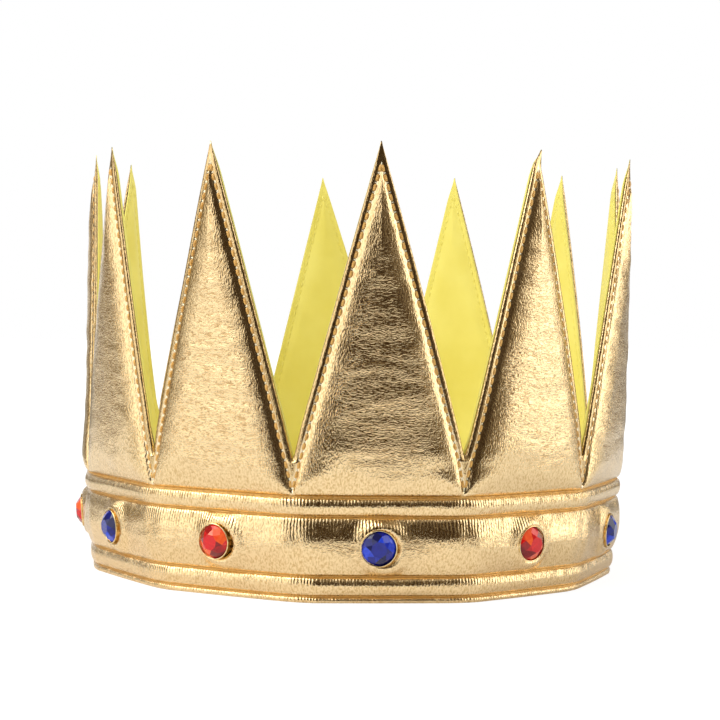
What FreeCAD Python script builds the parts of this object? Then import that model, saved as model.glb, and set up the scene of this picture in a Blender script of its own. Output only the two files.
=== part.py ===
import FreeCAD, Part
import math
import os

import Sketcher

# A padded dress-up crown. One quilted strip of gold leatherette is folded into a ring of
# twelve flat panels, and each panel rises into a point. The ring is oval, to fit a head.
# Origin: the middle of the head opening, on the plane of the hem. Front panel faces -Y.

SIZES = (
    # Ring and points
    ("ring_width", 167.6),        # outside of the hem, ear to ear
    ("ring_length", 202.2),       # outside of the hem, brow to nape
    ("panels", 12),
    ("hem_strip", 1.8),           # below the hem seam
    ("lower_strip", 5.7),         # from the hem seam to the lower seam
    ("gem_strip", 17.0),          # from the lower seam to the upper seam
    ("upper_strip", 5.4),         # from the upper seam to the top seam
    ("valley_gap", 1.6),          # from the stitches of the top seam to those of a valley
    ("point_rise", 89.7),         # from the foot of a valley to a tip
    ("band_flare", 4.5),          # degrees that the band opens upward
    ("point_lean", 1.9),          # degrees that the points lean outward
    # Layers
    ("cover_thickness", 0.9),
    ("padding_thickness", 0.9),
    ("lining_thickness", 1.0),
    ("hem_puff", 0.5),            # how far each strip swells from its seams
    ("narrow_puff", 1.0),
    ("gem_puff", 2.0),
    ("point_puff", 1.8),
    ("puff_bevel", 5.0),          # width of the rounded border of a puffed point
    # Stitching
    ("edge_margin", 1.7),         # from the cut edge of a point to its stitches
    ("thread_width", 0.8),
    ("thread_height", 0.35),
    ("thread_clearance", 0.15),
    ("closing_offset", 2.5),      # from the join in the ring to its stitches
    # Gems and their settings
    ("gem_diameter", 9.8),
    ("gem_table", 4.4),
    ("gem_girdle", 1.0),
    ("gem_crown", 2.2),
    ("gem_break", 3.3),           # radius at which the lower facets start
    ("gem_facets", 8),
    ("setting_wall", 0.3),
    ("setting_floor", 0.5),
    ("setting_rim", 1.4),         # height of the rim above the floor of the setting
    ("setting_land", 0.5),        # flat leatherette left round a setting
    ("post_diameter", 2.4),
    ("rivet_diameter", 7.0),
    ("rivet_thickness", 0.8),
    ("fit_clearance", 0.05),
)

doc = FreeCAD.newDocument("Crown")
sheet = doc.addObject("Spreadsheet::Sheet", "Sizes")
for row, (alias, value) in enumerate(SIZES, start=1):
    sheet.set(f"A{row}", alias)
    sheet.set(f"B{row}", str(value))
    sheet.setAlias(f"B{row}", alias)
doc.recompute()

V = FreeCAD.Vector
panels = int(sheet.panels)
hem_seam = sheet.hem_strip
lower_seam = hem_seam + sheet.lower_strip
upper_seam = lower_seam + sheet.gem_strip
top_seam = upper_seam + sheet.upper_strip
gem_height = (lower_seam + upper_seam) / 2
lining_depth = sheet.cover_thickness + sheet.padding_thickness
ring_thickness = lining_depth + sheet.lining_thickness
flare = math.radians(sheet.band_flare)
lean = math.radians(sheet.point_lean)
half_channel = sheet.thread_width / 2 + sheet.thread_clearance
ARCH_STEPS = (0.0, 0.2, 0.55, 1.0)    # shares of a strip's rounded border where it bends
BORDER_STEPS = (0.0, 0.35, 1.0)       # the same for the border of a puffed point
setting_radius = sheet.gem_diameter / 2 + sheet.fit_clearance + sheet.setting_wall


# Plan of the ring

def hem_corners():
    """Corners of the hem: equal steps along an oval, with a panel square to the front."""
    half_width, half_length = sheet.ring_width / 2, sheet.ring_length / 2
    steps = 3600
    walk = [(0.0, V(0, -half_length, 0))]
    for step in range(1, steps + 1):
        turn = 2 * math.pi * step / steps
        here = V(half_width * math.sin(turn), -half_length * math.cos(turn), 0)
        walk.append((walk[-1][0] + here.distanceToPoint(walk[-1][1]), here))
    around = walk[-1][0]
    corners = []
    for index in range(panels):
        reach = around * (index - 0.5) / panels % around
        ahead = next(count for count, (length, _) in enumerate(walk) if length >= reach)
        (length, place), (next_length, next_place) = walk[ahead - 1], walk[ahead]
        corners.append(place + (next_place - place) * ((reach - length) / (next_length - length)))
    return corners


HEM = hem_corners()


def side_direction(index):
    """Unit vector along panel index, from its left corner to its right one."""
    return (HEM[(index + 1) % panels] - HEM[index % panels]).normalize()


def outward(index):
    """Level unit vector that panel index faces."""
    along = side_direction(index)
    return V(along.y, -along.x, 0)


def wall_line(height):
    """How far the face of the ring has moved outward at this height."""
    if height <= top_seam:
        return height * math.tan(flare)
    return top_seam * math.tan(flare) + (height - top_seam) * math.tan(lean)


def corner(index, height, proud=0.0):
    """Left corner of panel index at this height, proud of the seams by this much."""
    distance = wall_line(height) + proud
    before, after = outward(index - 1), outward(index)
    bisector = (before + after).normalize()
    place = HEM[index % panels] + bisector * (distance / bisector.dot(after))
    return V(place.x, place.y, height)


def middle(index, height, proud=0.0):
    """Middle of panel index at this height."""
    return (corner(index, height, proud) + corner(index + 1, height, proud)) * 0.5


def slant_drop(margin):
    """How far down a line moves when it moves in from a point's cut edge by this margin."""
    half_panel = HEM[0].distanceToPoint(HEM[1]) / 2
    return margin / math.sin(math.atan2(half_panel, sheet.point_rise))


valley_height = (top_seam + sheet.thread_width / 2 + sheet.valley_gap
                 + slant_drop(sheet.edge_margin + sheet.thread_width / 2))
tip_height = valley_height + sheet.point_rise


# Solids from flat faces

def solid_of(polygons):
    """A closed solid from lists of corners. Flat neighbours are joined into one face."""
    faces = [Part.Face(Part.makePolygon(list(polygon) + [polygon[0]])) for polygon in polygons]
    shell = Part.Shell(faces)
    shell.sewShape()
    solid = Part.Solid(shell)
    if solid.Volume < 0:
        solid.reverse()
    return solid.removeSplitter()


def split(four):
    """Two triangles across four corners that need not be flat."""
    return [(four[0], four[1], four[2]), (four[0], four[2], four[3])]


def girdle(low, high):
    """Flat faces all round the ring, one a panel, between two (height, proud) pairs."""
    return [(corner(index, *low), corner(index + 1, *low),
             corner(index + 1, *high), corner(index, *high)) for index in range(panels)]


def loop_solid(section):
    """A ring of flat panels from a closed section of (height, proud) pairs."""
    polygons = []
    for low, high in zip(section, section[1:] + section[:1]):
        polygons += girdle(low, high)
    return solid_of(polygons)


def pointed_ring(outer, inner):
    """A layer of the crown between two sections of (height, proud) pairs, hem to valley."""
    polygons = girdle(outer[0], inner[0])
    for section in (outer, inner):
        for low, high in zip(section, section[1:]):
            polygons += girdle(low, high)
        foot = section[-1][1]
        for index in range(panels):
            polygons.append((corner(index, valley_height, foot),
                             corner(index + 1, valley_height, foot),
                             middle(index, tip_height, foot)))
    out, back = outer[-1][1], inner[-1][1]
    for index in range(panels):
        for foot in (index, index + 1):
            polygons += split((
                corner(foot, valley_height, out), middle(index, tip_height, out),
                middle(index, tip_height, back), corner(foot, valley_height, back)))
    return solid_of(polygons)


def arch(share):
    """Rise of a rounded border, from 0 at its foot to 1 where it levels out."""
    return math.sqrt(1 - (1 - share) ** 2)


def strip_section(bottom, top, swelling, flat=0.0):
    """Face of one strip between its seams: a low arch, level for flat each side."""
    slope = (top - bottom) / 2 - flat
    rise = [(bottom + slope * share, swelling * arch(share)) for share in ARCH_STEPS]
    fall = [(bottom + top - height, proud) for height, proud in reversed(rise)]
    return rise + fall if flat else rise + fall[1:]


def band_section(depth):
    """Face of the band from the hem up to the foot of a valley, this deep in the ring."""
    land = setting_radius + sheet.setting_land
    section = strip_section(0.0, hem_seam - half_channel, sheet.hem_puff)
    section += strip_section(hem_seam + half_channel, lower_seam - half_channel,
                             sheet.narrow_puff)
    section += strip_section(lower_seam + half_channel, upper_seam - half_channel,
                             sheet.gem_puff, land)
    section += strip_section(upper_seam + half_channel, top_seam - half_channel,
                             sheet.narrow_puff)
    section += [(top_seam, 0.0), (valley_height, 0.0)]
    return [(height, swell - depth) for height, swell in section]


def plain_section(depth):
    """Flat face of the ring from the hem up to the foot of a valley, this deep in it."""
    return [(0.0, -depth), (top_seam, -depth), (valley_height, -depth)]


def puff_outline(index, margin, lift, proud):
    """Triangle on panel index, in from its edges by margin and up from the top seam."""
    drop = slant_drop(margin)
    foot, apex_height = valley_height - drop, tip_height - drop
    base = max(top_seam + lift, foot)
    apex = middle(index, apex_height, proud)
    share = (base - foot) / (apex_height - foot)
    left = corner(index, foot, proud)
    right = corner(index + 1, foot, proud)
    return [left + (apex - left) * share, right + (apex - right) * share, apex]


def puff(index, depth, thickness):
    """The swelling of one point: a triangle with bevelled borders, on its layer."""
    margin = sheet.edge_margin + half_channel
    levels = [puff_outline(index, margin, half_channel, -depth - thickness)]
    for share in BORDER_STEPS:
        inward = share * sheet.puff_bevel
        levels.append(puff_outline(index, margin + inward, half_channel + inward,
                                   sheet.point_puff * arch(share) - depth))
    polygons = [levels[0], levels[-1]]
    for low, high in zip(levels, levels[1:]):
        for side in range(3):
            ahead = (side + 1) % 3
            polygons += split((low[side], low[ahead], high[ahead], high[side]))
    return solid_of(polygons)


def edge_line(proud, height_of_thread):
    """Stitching in from the cut edges of all the points, as one zigzag loop."""
    faces = []
    half = sheet.thread_width / 2
    near, far = slant_drop(sheet.edge_margin - half), slant_drop(sheet.edge_margin + half)

    def chevron(index, drop, level):
        return (corner(index, valley_height - drop, level),
                middle(index, tip_height - drop, level),
                corner(index + 1, valley_height - drop, level))

    low, high = proud, proud + height_of_thread
    for index in range(panels):
        upper_in, lower_in = chevron(index, near, low), chevron(index, far, low)
        upper_out, lower_out = chevron(index, near, high), chevron(index, far, high)
        for side in (0, 1):
            for one, two in ((upper_in, lower_in), (upper_out, lower_out),
                             (upper_in, upper_out), (lower_in, lower_out)):
                faces += split((one[side], one[side + 1], two[side + 1], two[side]))
    return solid_of(faces)


def seam_line(height, proud, height_of_thread):
    """Stitching round the band at one seam."""
    half = sheet.thread_width / 2
    levels = (height - half, height, height + half)
    return loop_solid([(level, proud) for level in levels]
                      + [(level, proud + height_of_thread) for level in reversed(levels)])


def gem_placement(index, proud):
    """Where a setting sits: its own Z points straight out of the panel."""
    facing = outward(index) * math.cos(flare) - V(0, 0, math.sin(flare))
    along = side_direction(index)
    rotation = FreeCAD.Rotation(along, facing.cross(along), facing, "ZXY")
    return FreeCAD.Placement(middle(index, gem_height, proud), rotation)


# Document objects

def finished(label, shape):
    """A sub-part whose faceted shape is worked out above."""
    feature = doc.addObject("Part::Feature", label)
    feature.Label = label
    feature.Shape = shape
    feature.Placement = FreeCAD.Placement()
    return feature


def origin_part(body, role):
    """A plane or an axis of the body's own origin."""
    return next(item for item in body.Origin.OriginFeatures if item.Role == role)


def sketch_on(body, name, role):
    """A new sketch on one of the body's origin planes."""
    sketch = body.newObject("Sketcher::SketchObject", name)
    sketch.AttachmentSupport = [(origin_part(body, role), "")]
    sketch.MapMode = "FlatFace"
    return sketch


def bound_circle(sketch, diameter):
    """A circle about the sketch's origin with its diameter bound to an expression."""
    circle = sketch.addGeometry(Part.Circle(V(), V(0, 0, 1), 1.0), False)
    sketch.addConstraint(Sketcher.Constraint("Coincident", circle, 3, -1, 1))
    size = sketch.addConstraint(Sketcher.Constraint("Diameter", circle, 2.0))
    sketch.setExpression(f"Constraints[{size}]", diameter)


def bound_outline(sketch, corners):
    """A closed outline whose corners are pairs of expressions, across and up."""
    guesses = [(float(sketch.evalExpression(across)), float(sketch.evalExpression(up)))
               for across, up in corners]
    count = len(corners)
    for index, start in enumerate(guesses):
        end = guesses[(index + 1) % count]
        sketch.addGeometry(Part.LineSegment(V(*start, 0), V(*end, 0)), False)
    for index in range(count):
        sketch.addConstraint(
            Sketcher.Constraint("Coincident", index, 2, (index + 1) % count, 1))
    for index, (guess, pair) in enumerate(zip(guesses, corners)):
        for kind, value, expression in zip(("DistanceX", "DistanceY"), guess, pair):
            size = sketch.addConstraint(
                Sketcher.Constraint(kind, -1, 1, index, 1, value))
            sketch.setExpression(f"Constraints[{size}]", expression)


def pad(body, name, diameter, length):
    """A round pad that stands on the body's XY plane."""
    sketch = sketch_on(body, name + "_circle", "XY_Plane")
    bound_circle(sketch, diameter)
    feature = body.newObject("PartDesign::Pad", name)
    feature.Profile = sketch
    feature.setExpression("Length", length)
    return feature


def turned(body, name, corners):
    """A solid of revolution about the body's Z axis."""
    sketch = sketch_on(body, name + "_section", "XZ_Plane")
    bound_outline(sketch, corners)
    feature = body.newObject("PartDesign::Revolution", name)
    feature.Profile = sketch
    feature.ReferenceAxis = (origin_part(body, "Z_Axis"), [""])
    feature.Angle = 360
    return feature


def facet_ring(body, name, corners, turn):
    """Facets cut by one wedge and repeated about the Z axis, the first at this turn."""
    sketch = sketch_on(body, name + "_wedge", "XZ_Plane")
    sketch.AttachmentOffset = FreeCAD.Placement(V(), FreeCAD.Rotation(V(0, 1, 0), 1.0))
    sketch.setExpression("AttachmentOffset.Rotation.Angle", turn)
    bound_outline(sketch, corners)
    cut = body.newObject("PartDesign::Pocket", name)
    cut.Profile = sketch
    cut.Type = "ThroughAll"
    cut.SideType = "Symmetric"
    doc.recompute()
    ring = body.newObject("PartDesign::PolarPattern", name + "s")
    ring.Originals = [cut]
    ring.Axis = (origin_part(body, "Z_Axis"), [""])
    ring.Angle = 360
    ring.setExpression("Occurrences", "Sizes.gem_facets")
    body.Tip = ring
    doc.recompute()


def new_body(label):
    """An empty body for one turned or cut piece."""
    body = doc.addObject("PartDesign::Body", label)
    body.Label = label
    return body


RADIUS = "Sizes.gem_diameter / 2"
TABLE = "Sizes.gem_table / 2"
GIRDLE = "Sizes.gem_girdle"
TOP = "(Sizes.gem_girdle + Sizes.gem_crown)"
SETTING = f"({RADIUS} + Sizes.fit_clearance + Sizes.setting_wall)"
FLOOR = "Sizes.setting_floor"
POST = "Sizes.post_diameter / 2"
BACK = ("((Sizes.gem_puff + Sizes.cover_thickness + Sizes.padding_thickness"
        " + Sizes.lining_thickness) * cos(Sizes.band_flare))")


def make_gem(label, place):
    """A flat-backed stone: a girdle, two rows of facets and a table."""
    body = new_body(label)
    pad(body, "stone", "Sizes.gem_diameter", TOP)
    doc.recompute()
    beyond, above = "Sizes.gem_diameter", TOP + " + 1"
    facet_ring(body, "main_facet", [(TABLE, TOP), (RADIUS, GIRDLE), (beyond, GIRDLE),
                                    (beyond, above), (TABLE, above)], "0")
    ridge = (f"{TOP} - Sizes.gem_crown * (Sizes.gem_break * cos(180 / Sizes.gem_facets)"
             f" - {TABLE}) / ({RADIUS} - {TABLE})")
    facet_ring(body, "lower_facet", [("Sizes.gem_break", ridge), (RADIUS, GIRDLE),
                                     (beyond, GIRDLE), (beyond, above),
                                     ("Sizes.gem_break", above)], "180 / Sizes.gem_facets")
    body.Placement = place * FreeCAD.Placement(V(0, 0, sheet.setting_floor),
                                               FreeCAD.Rotation())
    return body


def make_setting(label, place):
    """A turned cup that holds a stone, with the post that goes through the crown."""
    body = new_body(label)
    turned(body, "cup", [
        ("0", f"-{BACK} - Sizes.rivet_thickness"), (POST, f"-{BACK} - Sizes.rivet_thickness"),
        (POST, "0"), (SETTING, "0"), (SETTING, f"{FLOOR} + Sizes.setting_rim"),
        (f"{SETTING} - Sizes.setting_wall", f"{FLOOR} + Sizes.setting_rim"),
        (f"{SETTING} - Sizes.setting_wall", FLOOR), ("0", FLOOR)])
    body.Placement = place
    return body


def make_rivet(label, place):
    """The washer that closes a post against the lining."""
    body = new_body(label)
    bore = f"{POST} + Sizes.fit_clearance"
    turned(body, "washer", [
        (bore, f"-{BACK} - Sizes.rivet_thickness"), (bore, f"-{BACK}"),
        ("Sizes.rivet_diameter / 2", f"-{BACK}"),
        ("Sizes.rivet_diameter / 2", f"-{BACK} - Sizes.rivet_thickness")])
    body.Placement = place
    return body


def post_hole(index):
    """The hole that a post needs through all the layers of its panel."""
    reach = sheet.gem_puff + ring_thickness + 1
    hole = Part.makeCylinder(sheet.post_diameter / 2 + sheet.fit_clearance, 2 * reach,
                             V(0, 0, -reach))
    hole.Placement = gem_placement(index, sheet.gem_puff)
    return hole


def closing_line():
    """Stitches down the join in the ring, inside, over the threads of the seams."""
    panel = panels // 2
    half = sheet.thread_width / 2
    along = side_direction(panel)
    ends = []
    for height in (hem_seam + half, top_seam - half):
        for proud in (-ring_thickness, -ring_thickness - 2 * sheet.thread_height):
            start = corner(panel, height, proud) + along * (sheet.closing_offset - half)
            ends.append((start, start + along * sheet.thread_width))
    low_out, low_in, high_out, high_in = ends
    bar = solid_of([
        (low_out[0], low_out[1], low_in[1], low_in[0]),
        (high_out[0], high_out[1], high_in[1], high_in[0]),
        (low_out[0], low_out[1], high_out[1], high_out[0]),
        (low_in[0], low_in[1], high_in[1], high_in[0]),
        (low_out[0], low_in[0], high_in[0], high_out[0]),
        (low_out[1], low_in[1], high_in[1], high_out[1])])
    return bar.cut([seam_line(seam, -ring_thickness, -sheet.thread_height)
                    for seam in (lower_seam, upper_seam)])


# The layers: cover outside, padding between, lining inside

holes = [post_hole(index) for index in range(panels)]
cover_puffs = [puff(index, 0.0, sheet.cover_thickness) for index in range(panels)]
padding_puffs = [puff(index, sheet.cover_thickness, sheet.padding_thickness)
                 for index in range(panels)]
cover = pointed_ring(band_section(0.0), band_section(sheet.cover_thickness))
padding = pointed_ring(band_section(sheet.cover_thickness), plain_section(lining_depth))
lining = pointed_ring(plain_section(lining_depth), plain_section(ring_thickness))
parts = [
    finished("cover", cover.fuse(cover_puffs).cut(padding_puffs).cut(holes).removeSplitter()),
    finished("padding", padding.fuse(padding_puffs).cut(holes).removeSplitter()),
    finished("lining", lining.cut(holes)),
    finished("edge_thread", edge_line(0.0, sheet.thread_height)),
    finished("edge_bobbin_thread", edge_line(-ring_thickness, -sheet.thread_height)),
    finished("closing_thread", closing_line()),
]
for name, height in (("hem", hem_seam), ("lower", lower_seam), ("upper", upper_seam),
                     ("top", top_seam)):
    parts.append(finished(f"{name}_seam_thread",
                          seam_line(height, 0.0, sheet.thread_height)))
    parts.append(finished(f"{name}_seam_bobbin_thread",
                          seam_line(height, -ring_thickness, -sheet.thread_height)))

# A stone in its setting on every panel

for index in range(panels):
    place = gem_placement(index, sheet.gem_puff)
    number = f"{index + 1:02d}"
    parts.append(make_gem(f"gem_{number}", place))
    parts.append(make_setting(f"gem_setting_{number}", place))
    parts.append(make_rivet(f"rivet_back_{number}", place))

doc.recompute()
failed = [item.Label for item in doc.Objects if {"Invalid", "Error"} & set(item.State)]
if failed:
    raise RuntimeError(f"these objects could not be worked out: {failed}")
for part in parts:
    if part.Shape.isNull() or not part.Shape.isValid():
        raise RuntimeError(f"{part.Label} has no valid shape")

os.makedirs("parts", exist_ok=True)
for part in parts:
    shape = part.Shape
    shape.exportStep(os.path.join("parts", part.Label + ".step"))
    print(f"{part.Label}: {len(shape.Solids)} solid, {shape.Volume / 1000:.3f} cm3, "
          f"{len(shape.Faces)} faces")
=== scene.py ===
"""Looks of the padded costume crown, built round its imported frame."""
import logging
import math
from dataclasses import dataclass, field
from enum import Enum
from typing import Callable, Sequence

import bpy
import numpy as np
from mathutils import Euler, Matrix, Vector, noise


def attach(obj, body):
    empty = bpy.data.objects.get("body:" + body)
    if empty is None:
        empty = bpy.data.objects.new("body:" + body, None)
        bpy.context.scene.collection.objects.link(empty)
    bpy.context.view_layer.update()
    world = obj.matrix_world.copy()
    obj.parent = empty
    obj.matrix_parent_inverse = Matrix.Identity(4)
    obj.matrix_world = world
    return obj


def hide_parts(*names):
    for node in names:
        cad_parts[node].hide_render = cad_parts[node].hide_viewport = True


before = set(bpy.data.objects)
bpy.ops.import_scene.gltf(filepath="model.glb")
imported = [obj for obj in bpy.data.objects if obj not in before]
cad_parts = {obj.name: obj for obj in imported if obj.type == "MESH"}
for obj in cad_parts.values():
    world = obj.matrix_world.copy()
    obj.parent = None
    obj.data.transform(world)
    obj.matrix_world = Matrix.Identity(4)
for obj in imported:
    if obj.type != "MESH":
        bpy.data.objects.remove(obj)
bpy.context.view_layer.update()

LOG = logging.getLogger("crown")
MM = 0.001
FRAME_PIXELS = 720


class Side(Enum):
    """Which face of the ring a run of stitches lies on."""

    OUTSIDE = "outside"
    INSIDE = "inside"


class Stone(Enum):
    """The two colours of stone, in the record's slots."""

    BLUE = "blue_gem"
    RED = "red_gem"


def arch(share: np.ndarray | float) -> np.ndarray | float:
    """Rise of a rounded border: 0 at its foot, 1 where it levels out."""
    inside = np.clip(share, 0.0, 1.0)
    return np.sqrt(1.0 - (1.0 - inside) ** 2)


def smooth_step(low: float, high: float, value: np.ndarray | float) -> np.ndarray | float:
    """Ease from 0 at low to 1 at high."""
    share = np.clip((value - low) / (high - low), 0.0, 1.0)
    return share * share * (3.0 - 2.0 * share)


def soft_min(one: np.ndarray, two: np.ndarray, width: float) -> np.ndarray:
    """The lesser of two arrays, rounded off over a width where they meet."""
    mix = np.clip(0.5 + 0.5 * (two - one) / width, 0.0, 1.0)
    return two * (1.0 - mix) + one * mix - width * mix * (1.0 - mix)


def drift(points: np.ndarray, scale: float, seed: float) -> np.ndarray:
    """Slow seeded noise, about -1 to 1, sampled at points in metres.

    Args:
        points: Rows of x, y and z.
        scale: Size of one swell in metres.
        seed: Offset that picks another part of the noise.

    Returns:
        One value a row.
    """
    shifted = points / scale + seed
    return np.array([noise.noise(Vector(row)) for row in shifted]) * 1.6


@dataclass
class Plan:
    """Shape of the ring before it is padded, in metres."""

    ring_width: float = 167.6 * MM
    ring_length: float = 202.2 * MM
    panels: int = 12
    hem_seam: float = 1.8 * MM
    lower_seam: float = 7.5 * MM
    upper_seam: float = 24.5 * MM
    top_seam: float = 29.9 * MM
    valley: float = 39.9 * MM
    tip: float = 129.6 * MM
    band_flare: float = 4.5
    point_lean: float = 1.9
    fold_reach: float = 4.5 * MM
    fold_fade: float = 22.0 * MM
    least_fold: float = 0.05 * MM
    bow: float = 0.5 * MM
    point_bow: float = 1.3 * MM
    bend_power: float = 1.35
    hook_foot: float = 0.95
    bow_rise: float = 20.0 * MM
    seam_blend: float = 3.0 * MM
    valley_reach: float = 7.0 * MM
    tip_hooks: dict[int, float] = field(default_factory=lambda: {1: 1.6})
    bow_shares: dict[int, float] = field(default_factory=lambda: {9: -0.9, 3: -0.4})
    bend_powers: dict[int, float] = field(default_factory=lambda: {9: 0.7})
    outward_leans: tuple[float, ...] = (1.3, -5.0, 3.6, 0.0, 1.8, -2.9, -0.1, 0.5, -4.1, -2.9, 1.7, 3.1)
    sideways_leans: tuple[float, ...] = (-1.3, 4.8, 2.9, 0.8, 2.0, 0.7, 3.7, 1.5, 2.4, 5.4, 1.1, -1.2)
    fold_drifts: tuple[float, ...] = (3.0, 2.5, -1.5, -1.0, 0.8, 1.4, -0.6, 0.9, -1.2, 0.5, 1.6, 2.7)
    valley_lifts: tuple[float, ...] = (0.0, 1.3, -0.9, 0.4, -0.3, 0.6, 0.2, -0.5, 0.3, 0.5, -0.2, -0.9)
    hem: np.ndarray = field(init=False)
    facing: np.ndarray = field(init=False)
    along: np.ndarray = field(init=False)

    def __post_init__(self) -> None:
        """Work out the hem's corners and which way each panel faces."""
        turns = np.linspace(0.0, 2.0 * math.pi, 3601)
        oval = np.stack([self.ring_width / 2 * np.sin(turns),
                         -self.ring_length / 2 * np.cos(turns)], 1)
        steps = np.hypot(*np.diff(oval, axis=0).T)
        reach = np.concatenate([[0.0], np.cumsum(steps)])
        wanted = (np.arange(self.panels) - 0.5) / self.panels % 1.0 * reach[-1]
        self.hem = np.stack([np.interp(wanted, reach, oval[:, axis]) for axis in (0, 1)], 1)
        sides = np.roll(self.hem, -1, axis=0) - self.hem
        self.along = sides / np.linalg.norm(sides, axis=1, keepdims=True)
        self.facing = np.stack([self.along[:, 1], -self.along[:, 0]], 1)

    @property
    def half_panel(self) -> float:
        """Half the width of a panel, the same for every panel."""
        return float(np.linalg.norm(self.hem[1] - self.hem[0])) / 2

    @property
    def gem_height(self) -> float:
        """Height of the stones' centres above the hem."""
        return (self.lower_seam + self.upper_seam) / 2

    def wall_line(self, height: np.ndarray) -> np.ndarray:
        """How far the ring's face has moved outward at each height.

        Args:
            height: Heights above the hem.

        Returns:
            Distances in metres.
        """
        band = np.minimum(height, self.top_seam) * math.tan(math.radians(self.band_flare))
        rest = np.maximum(height - self.top_seam, 0.0) * math.tan(math.radians(self.point_lean))
        return band + rest

    def corners(self, index: int, height: np.ndarray) -> np.ndarray:
        """Left corner of a panel at each height, on the face of the seams.

        Args:
            index: Panel number, counted to the right from the front.
            height: Heights above the hem.

        Returns:
            Rows of x and y.
        """
        here = index % self.panels
        bisector = self.facing[here - 1] + self.facing[here]
        bisector = bisector / np.linalg.norm(bisector)
        out = self.wall_line(height) / float(bisector @ self.facing[here])
        level = np.array([-bisector[1], bisector[0]])
        slide = self.fold_drifts[here] * MM * np.clip(1.0 - height / self.top_seam, 0.0, 1.0)
        return self.hem[here] + bisector * out[:, None] + level * slide[:, None]

    def face(self, index: int, across: np.ndarray, height: np.ndarray) -> tuple[np.ndarray, np.ndarray]:
        """Points and outward normals on the face of a panel.

        Args:
            index: Panel number, counted to the right from the front.
            across: -1 at the panel's left corner, 1 at its right one.
            height: Heights above the hem.

        Returns:
            Rows of points and rows of unit normals.
        """
        here = index % self.panels
        left, right = self.corners(here, height), self.corners(here + 1, height)
        share = ((across + 1.0) / 2.0)[:, None]
        flat = left + (right - left) * share
        normal = np.tile(self.facing[here], (len(height), 1))
        fade = 1.0 - smooth_step(self.valley, self.valley + self.fold_fade, height)
        reach = np.maximum(self.fold_reach * fade, self.least_fold)
        width = np.linalg.norm(right - left, axis=1)
        for corner, other, gap in ((left, here - 1, share[:, 0] * width),
                                   (right, (here + 1) % self.panels, (1.0 - share[:, 0]) * width)):
            near = gap < reach
            turn = (0.5 + 0.5 * gap / reach)[:, None]
            sign = 1.0 if other == here - 1 else -1.0
            far_end = corner - sign * self.along[other] * reach[:, None]
            this_end = corner + sign * self.along[here] * reach[:, None]
            bent = (1 - turn) ** 2 * far_end + 2 * turn * (1 - turn) * corner + turn ** 2 * this_end
            faced = (1 - turn) * self.facing[other] + turn * self.facing[here]
            flat = np.where(near[:, None], bent, flat)
            normal = np.where(near[:, None], faced, normal)
        normal = normal / np.linalg.norm(normal, axis=1, keepdims=True)
        tilt = math.radians(self.point_lean) + math.radians(self.band_flare - self.point_lean) * (
            1.0 - smooth_step(self.top_seam - self.seam_blend, self.top_seam + self.seam_blend, height))
        upright = np.stack([normal[:, 0] * np.cos(tilt), normal[:, 1] * np.cos(tilt), -np.sin(tilt)], 1)
        points = np.concatenate([flat, height[:, None]], 1)
        return self._leaned(here, across, points, upright), upright

    def _leaned(self, index: int, across: np.ndarray, points: np.ndarray,
                normal: np.ndarray) -> np.ndarray:
        """Give a point of the crown its own lean, and its valleys their own height.

        Args:
            index: Panel number, counted to the right from the front.
            across: -1 at the panel's left corner, 1 at its right one.
            points: Rows of points on the flat panel.
            normal: Rows of outward normals.

        Returns:
            The moved points.
        """
        height = points[:, 2]
        rise = np.clip((height - self.valley) / (self.tip - self.valley), 0.0, 1.0)
        bend = rise ** self.bend_powers.get(index, self.bend_power)
        out = self.outward_leans[index] * MM * bend
        side = self.sideways_leans[index] * MM * bend
        hook = self.tip_hooks.get(index, 0.0) * MM * smooth_step(self.hook_foot, 1.0, rise)
        level = np.array([*self.along[index], 0.0])
        moved = points + normal * out[:, None] + level * (side + hook)[:, None]
        point_bow = self.point_bow * self.bow_shares.get(index, 1.0)
        bow = self.bow + point_bow * smooth_step(self.top_seam, self.top_seam + self.bow_rise, height)
        moved = moved + normal * (bow * (1.0 - across ** 2) * (1.0 - rise))[:, None]
        near = np.exp(-((height - self.valley) / self.valley_reach) ** 2)
        lift = (self.valley_lifts[index] * np.clip(-across, 0.0, 1.0) ** 6
                + self.valley_lifts[(index + 1) % self.panels] * np.clip(across, 0.0, 1.0) ** 6)
        moved[:, 2] += lift * MM * near
        return moved


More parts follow.
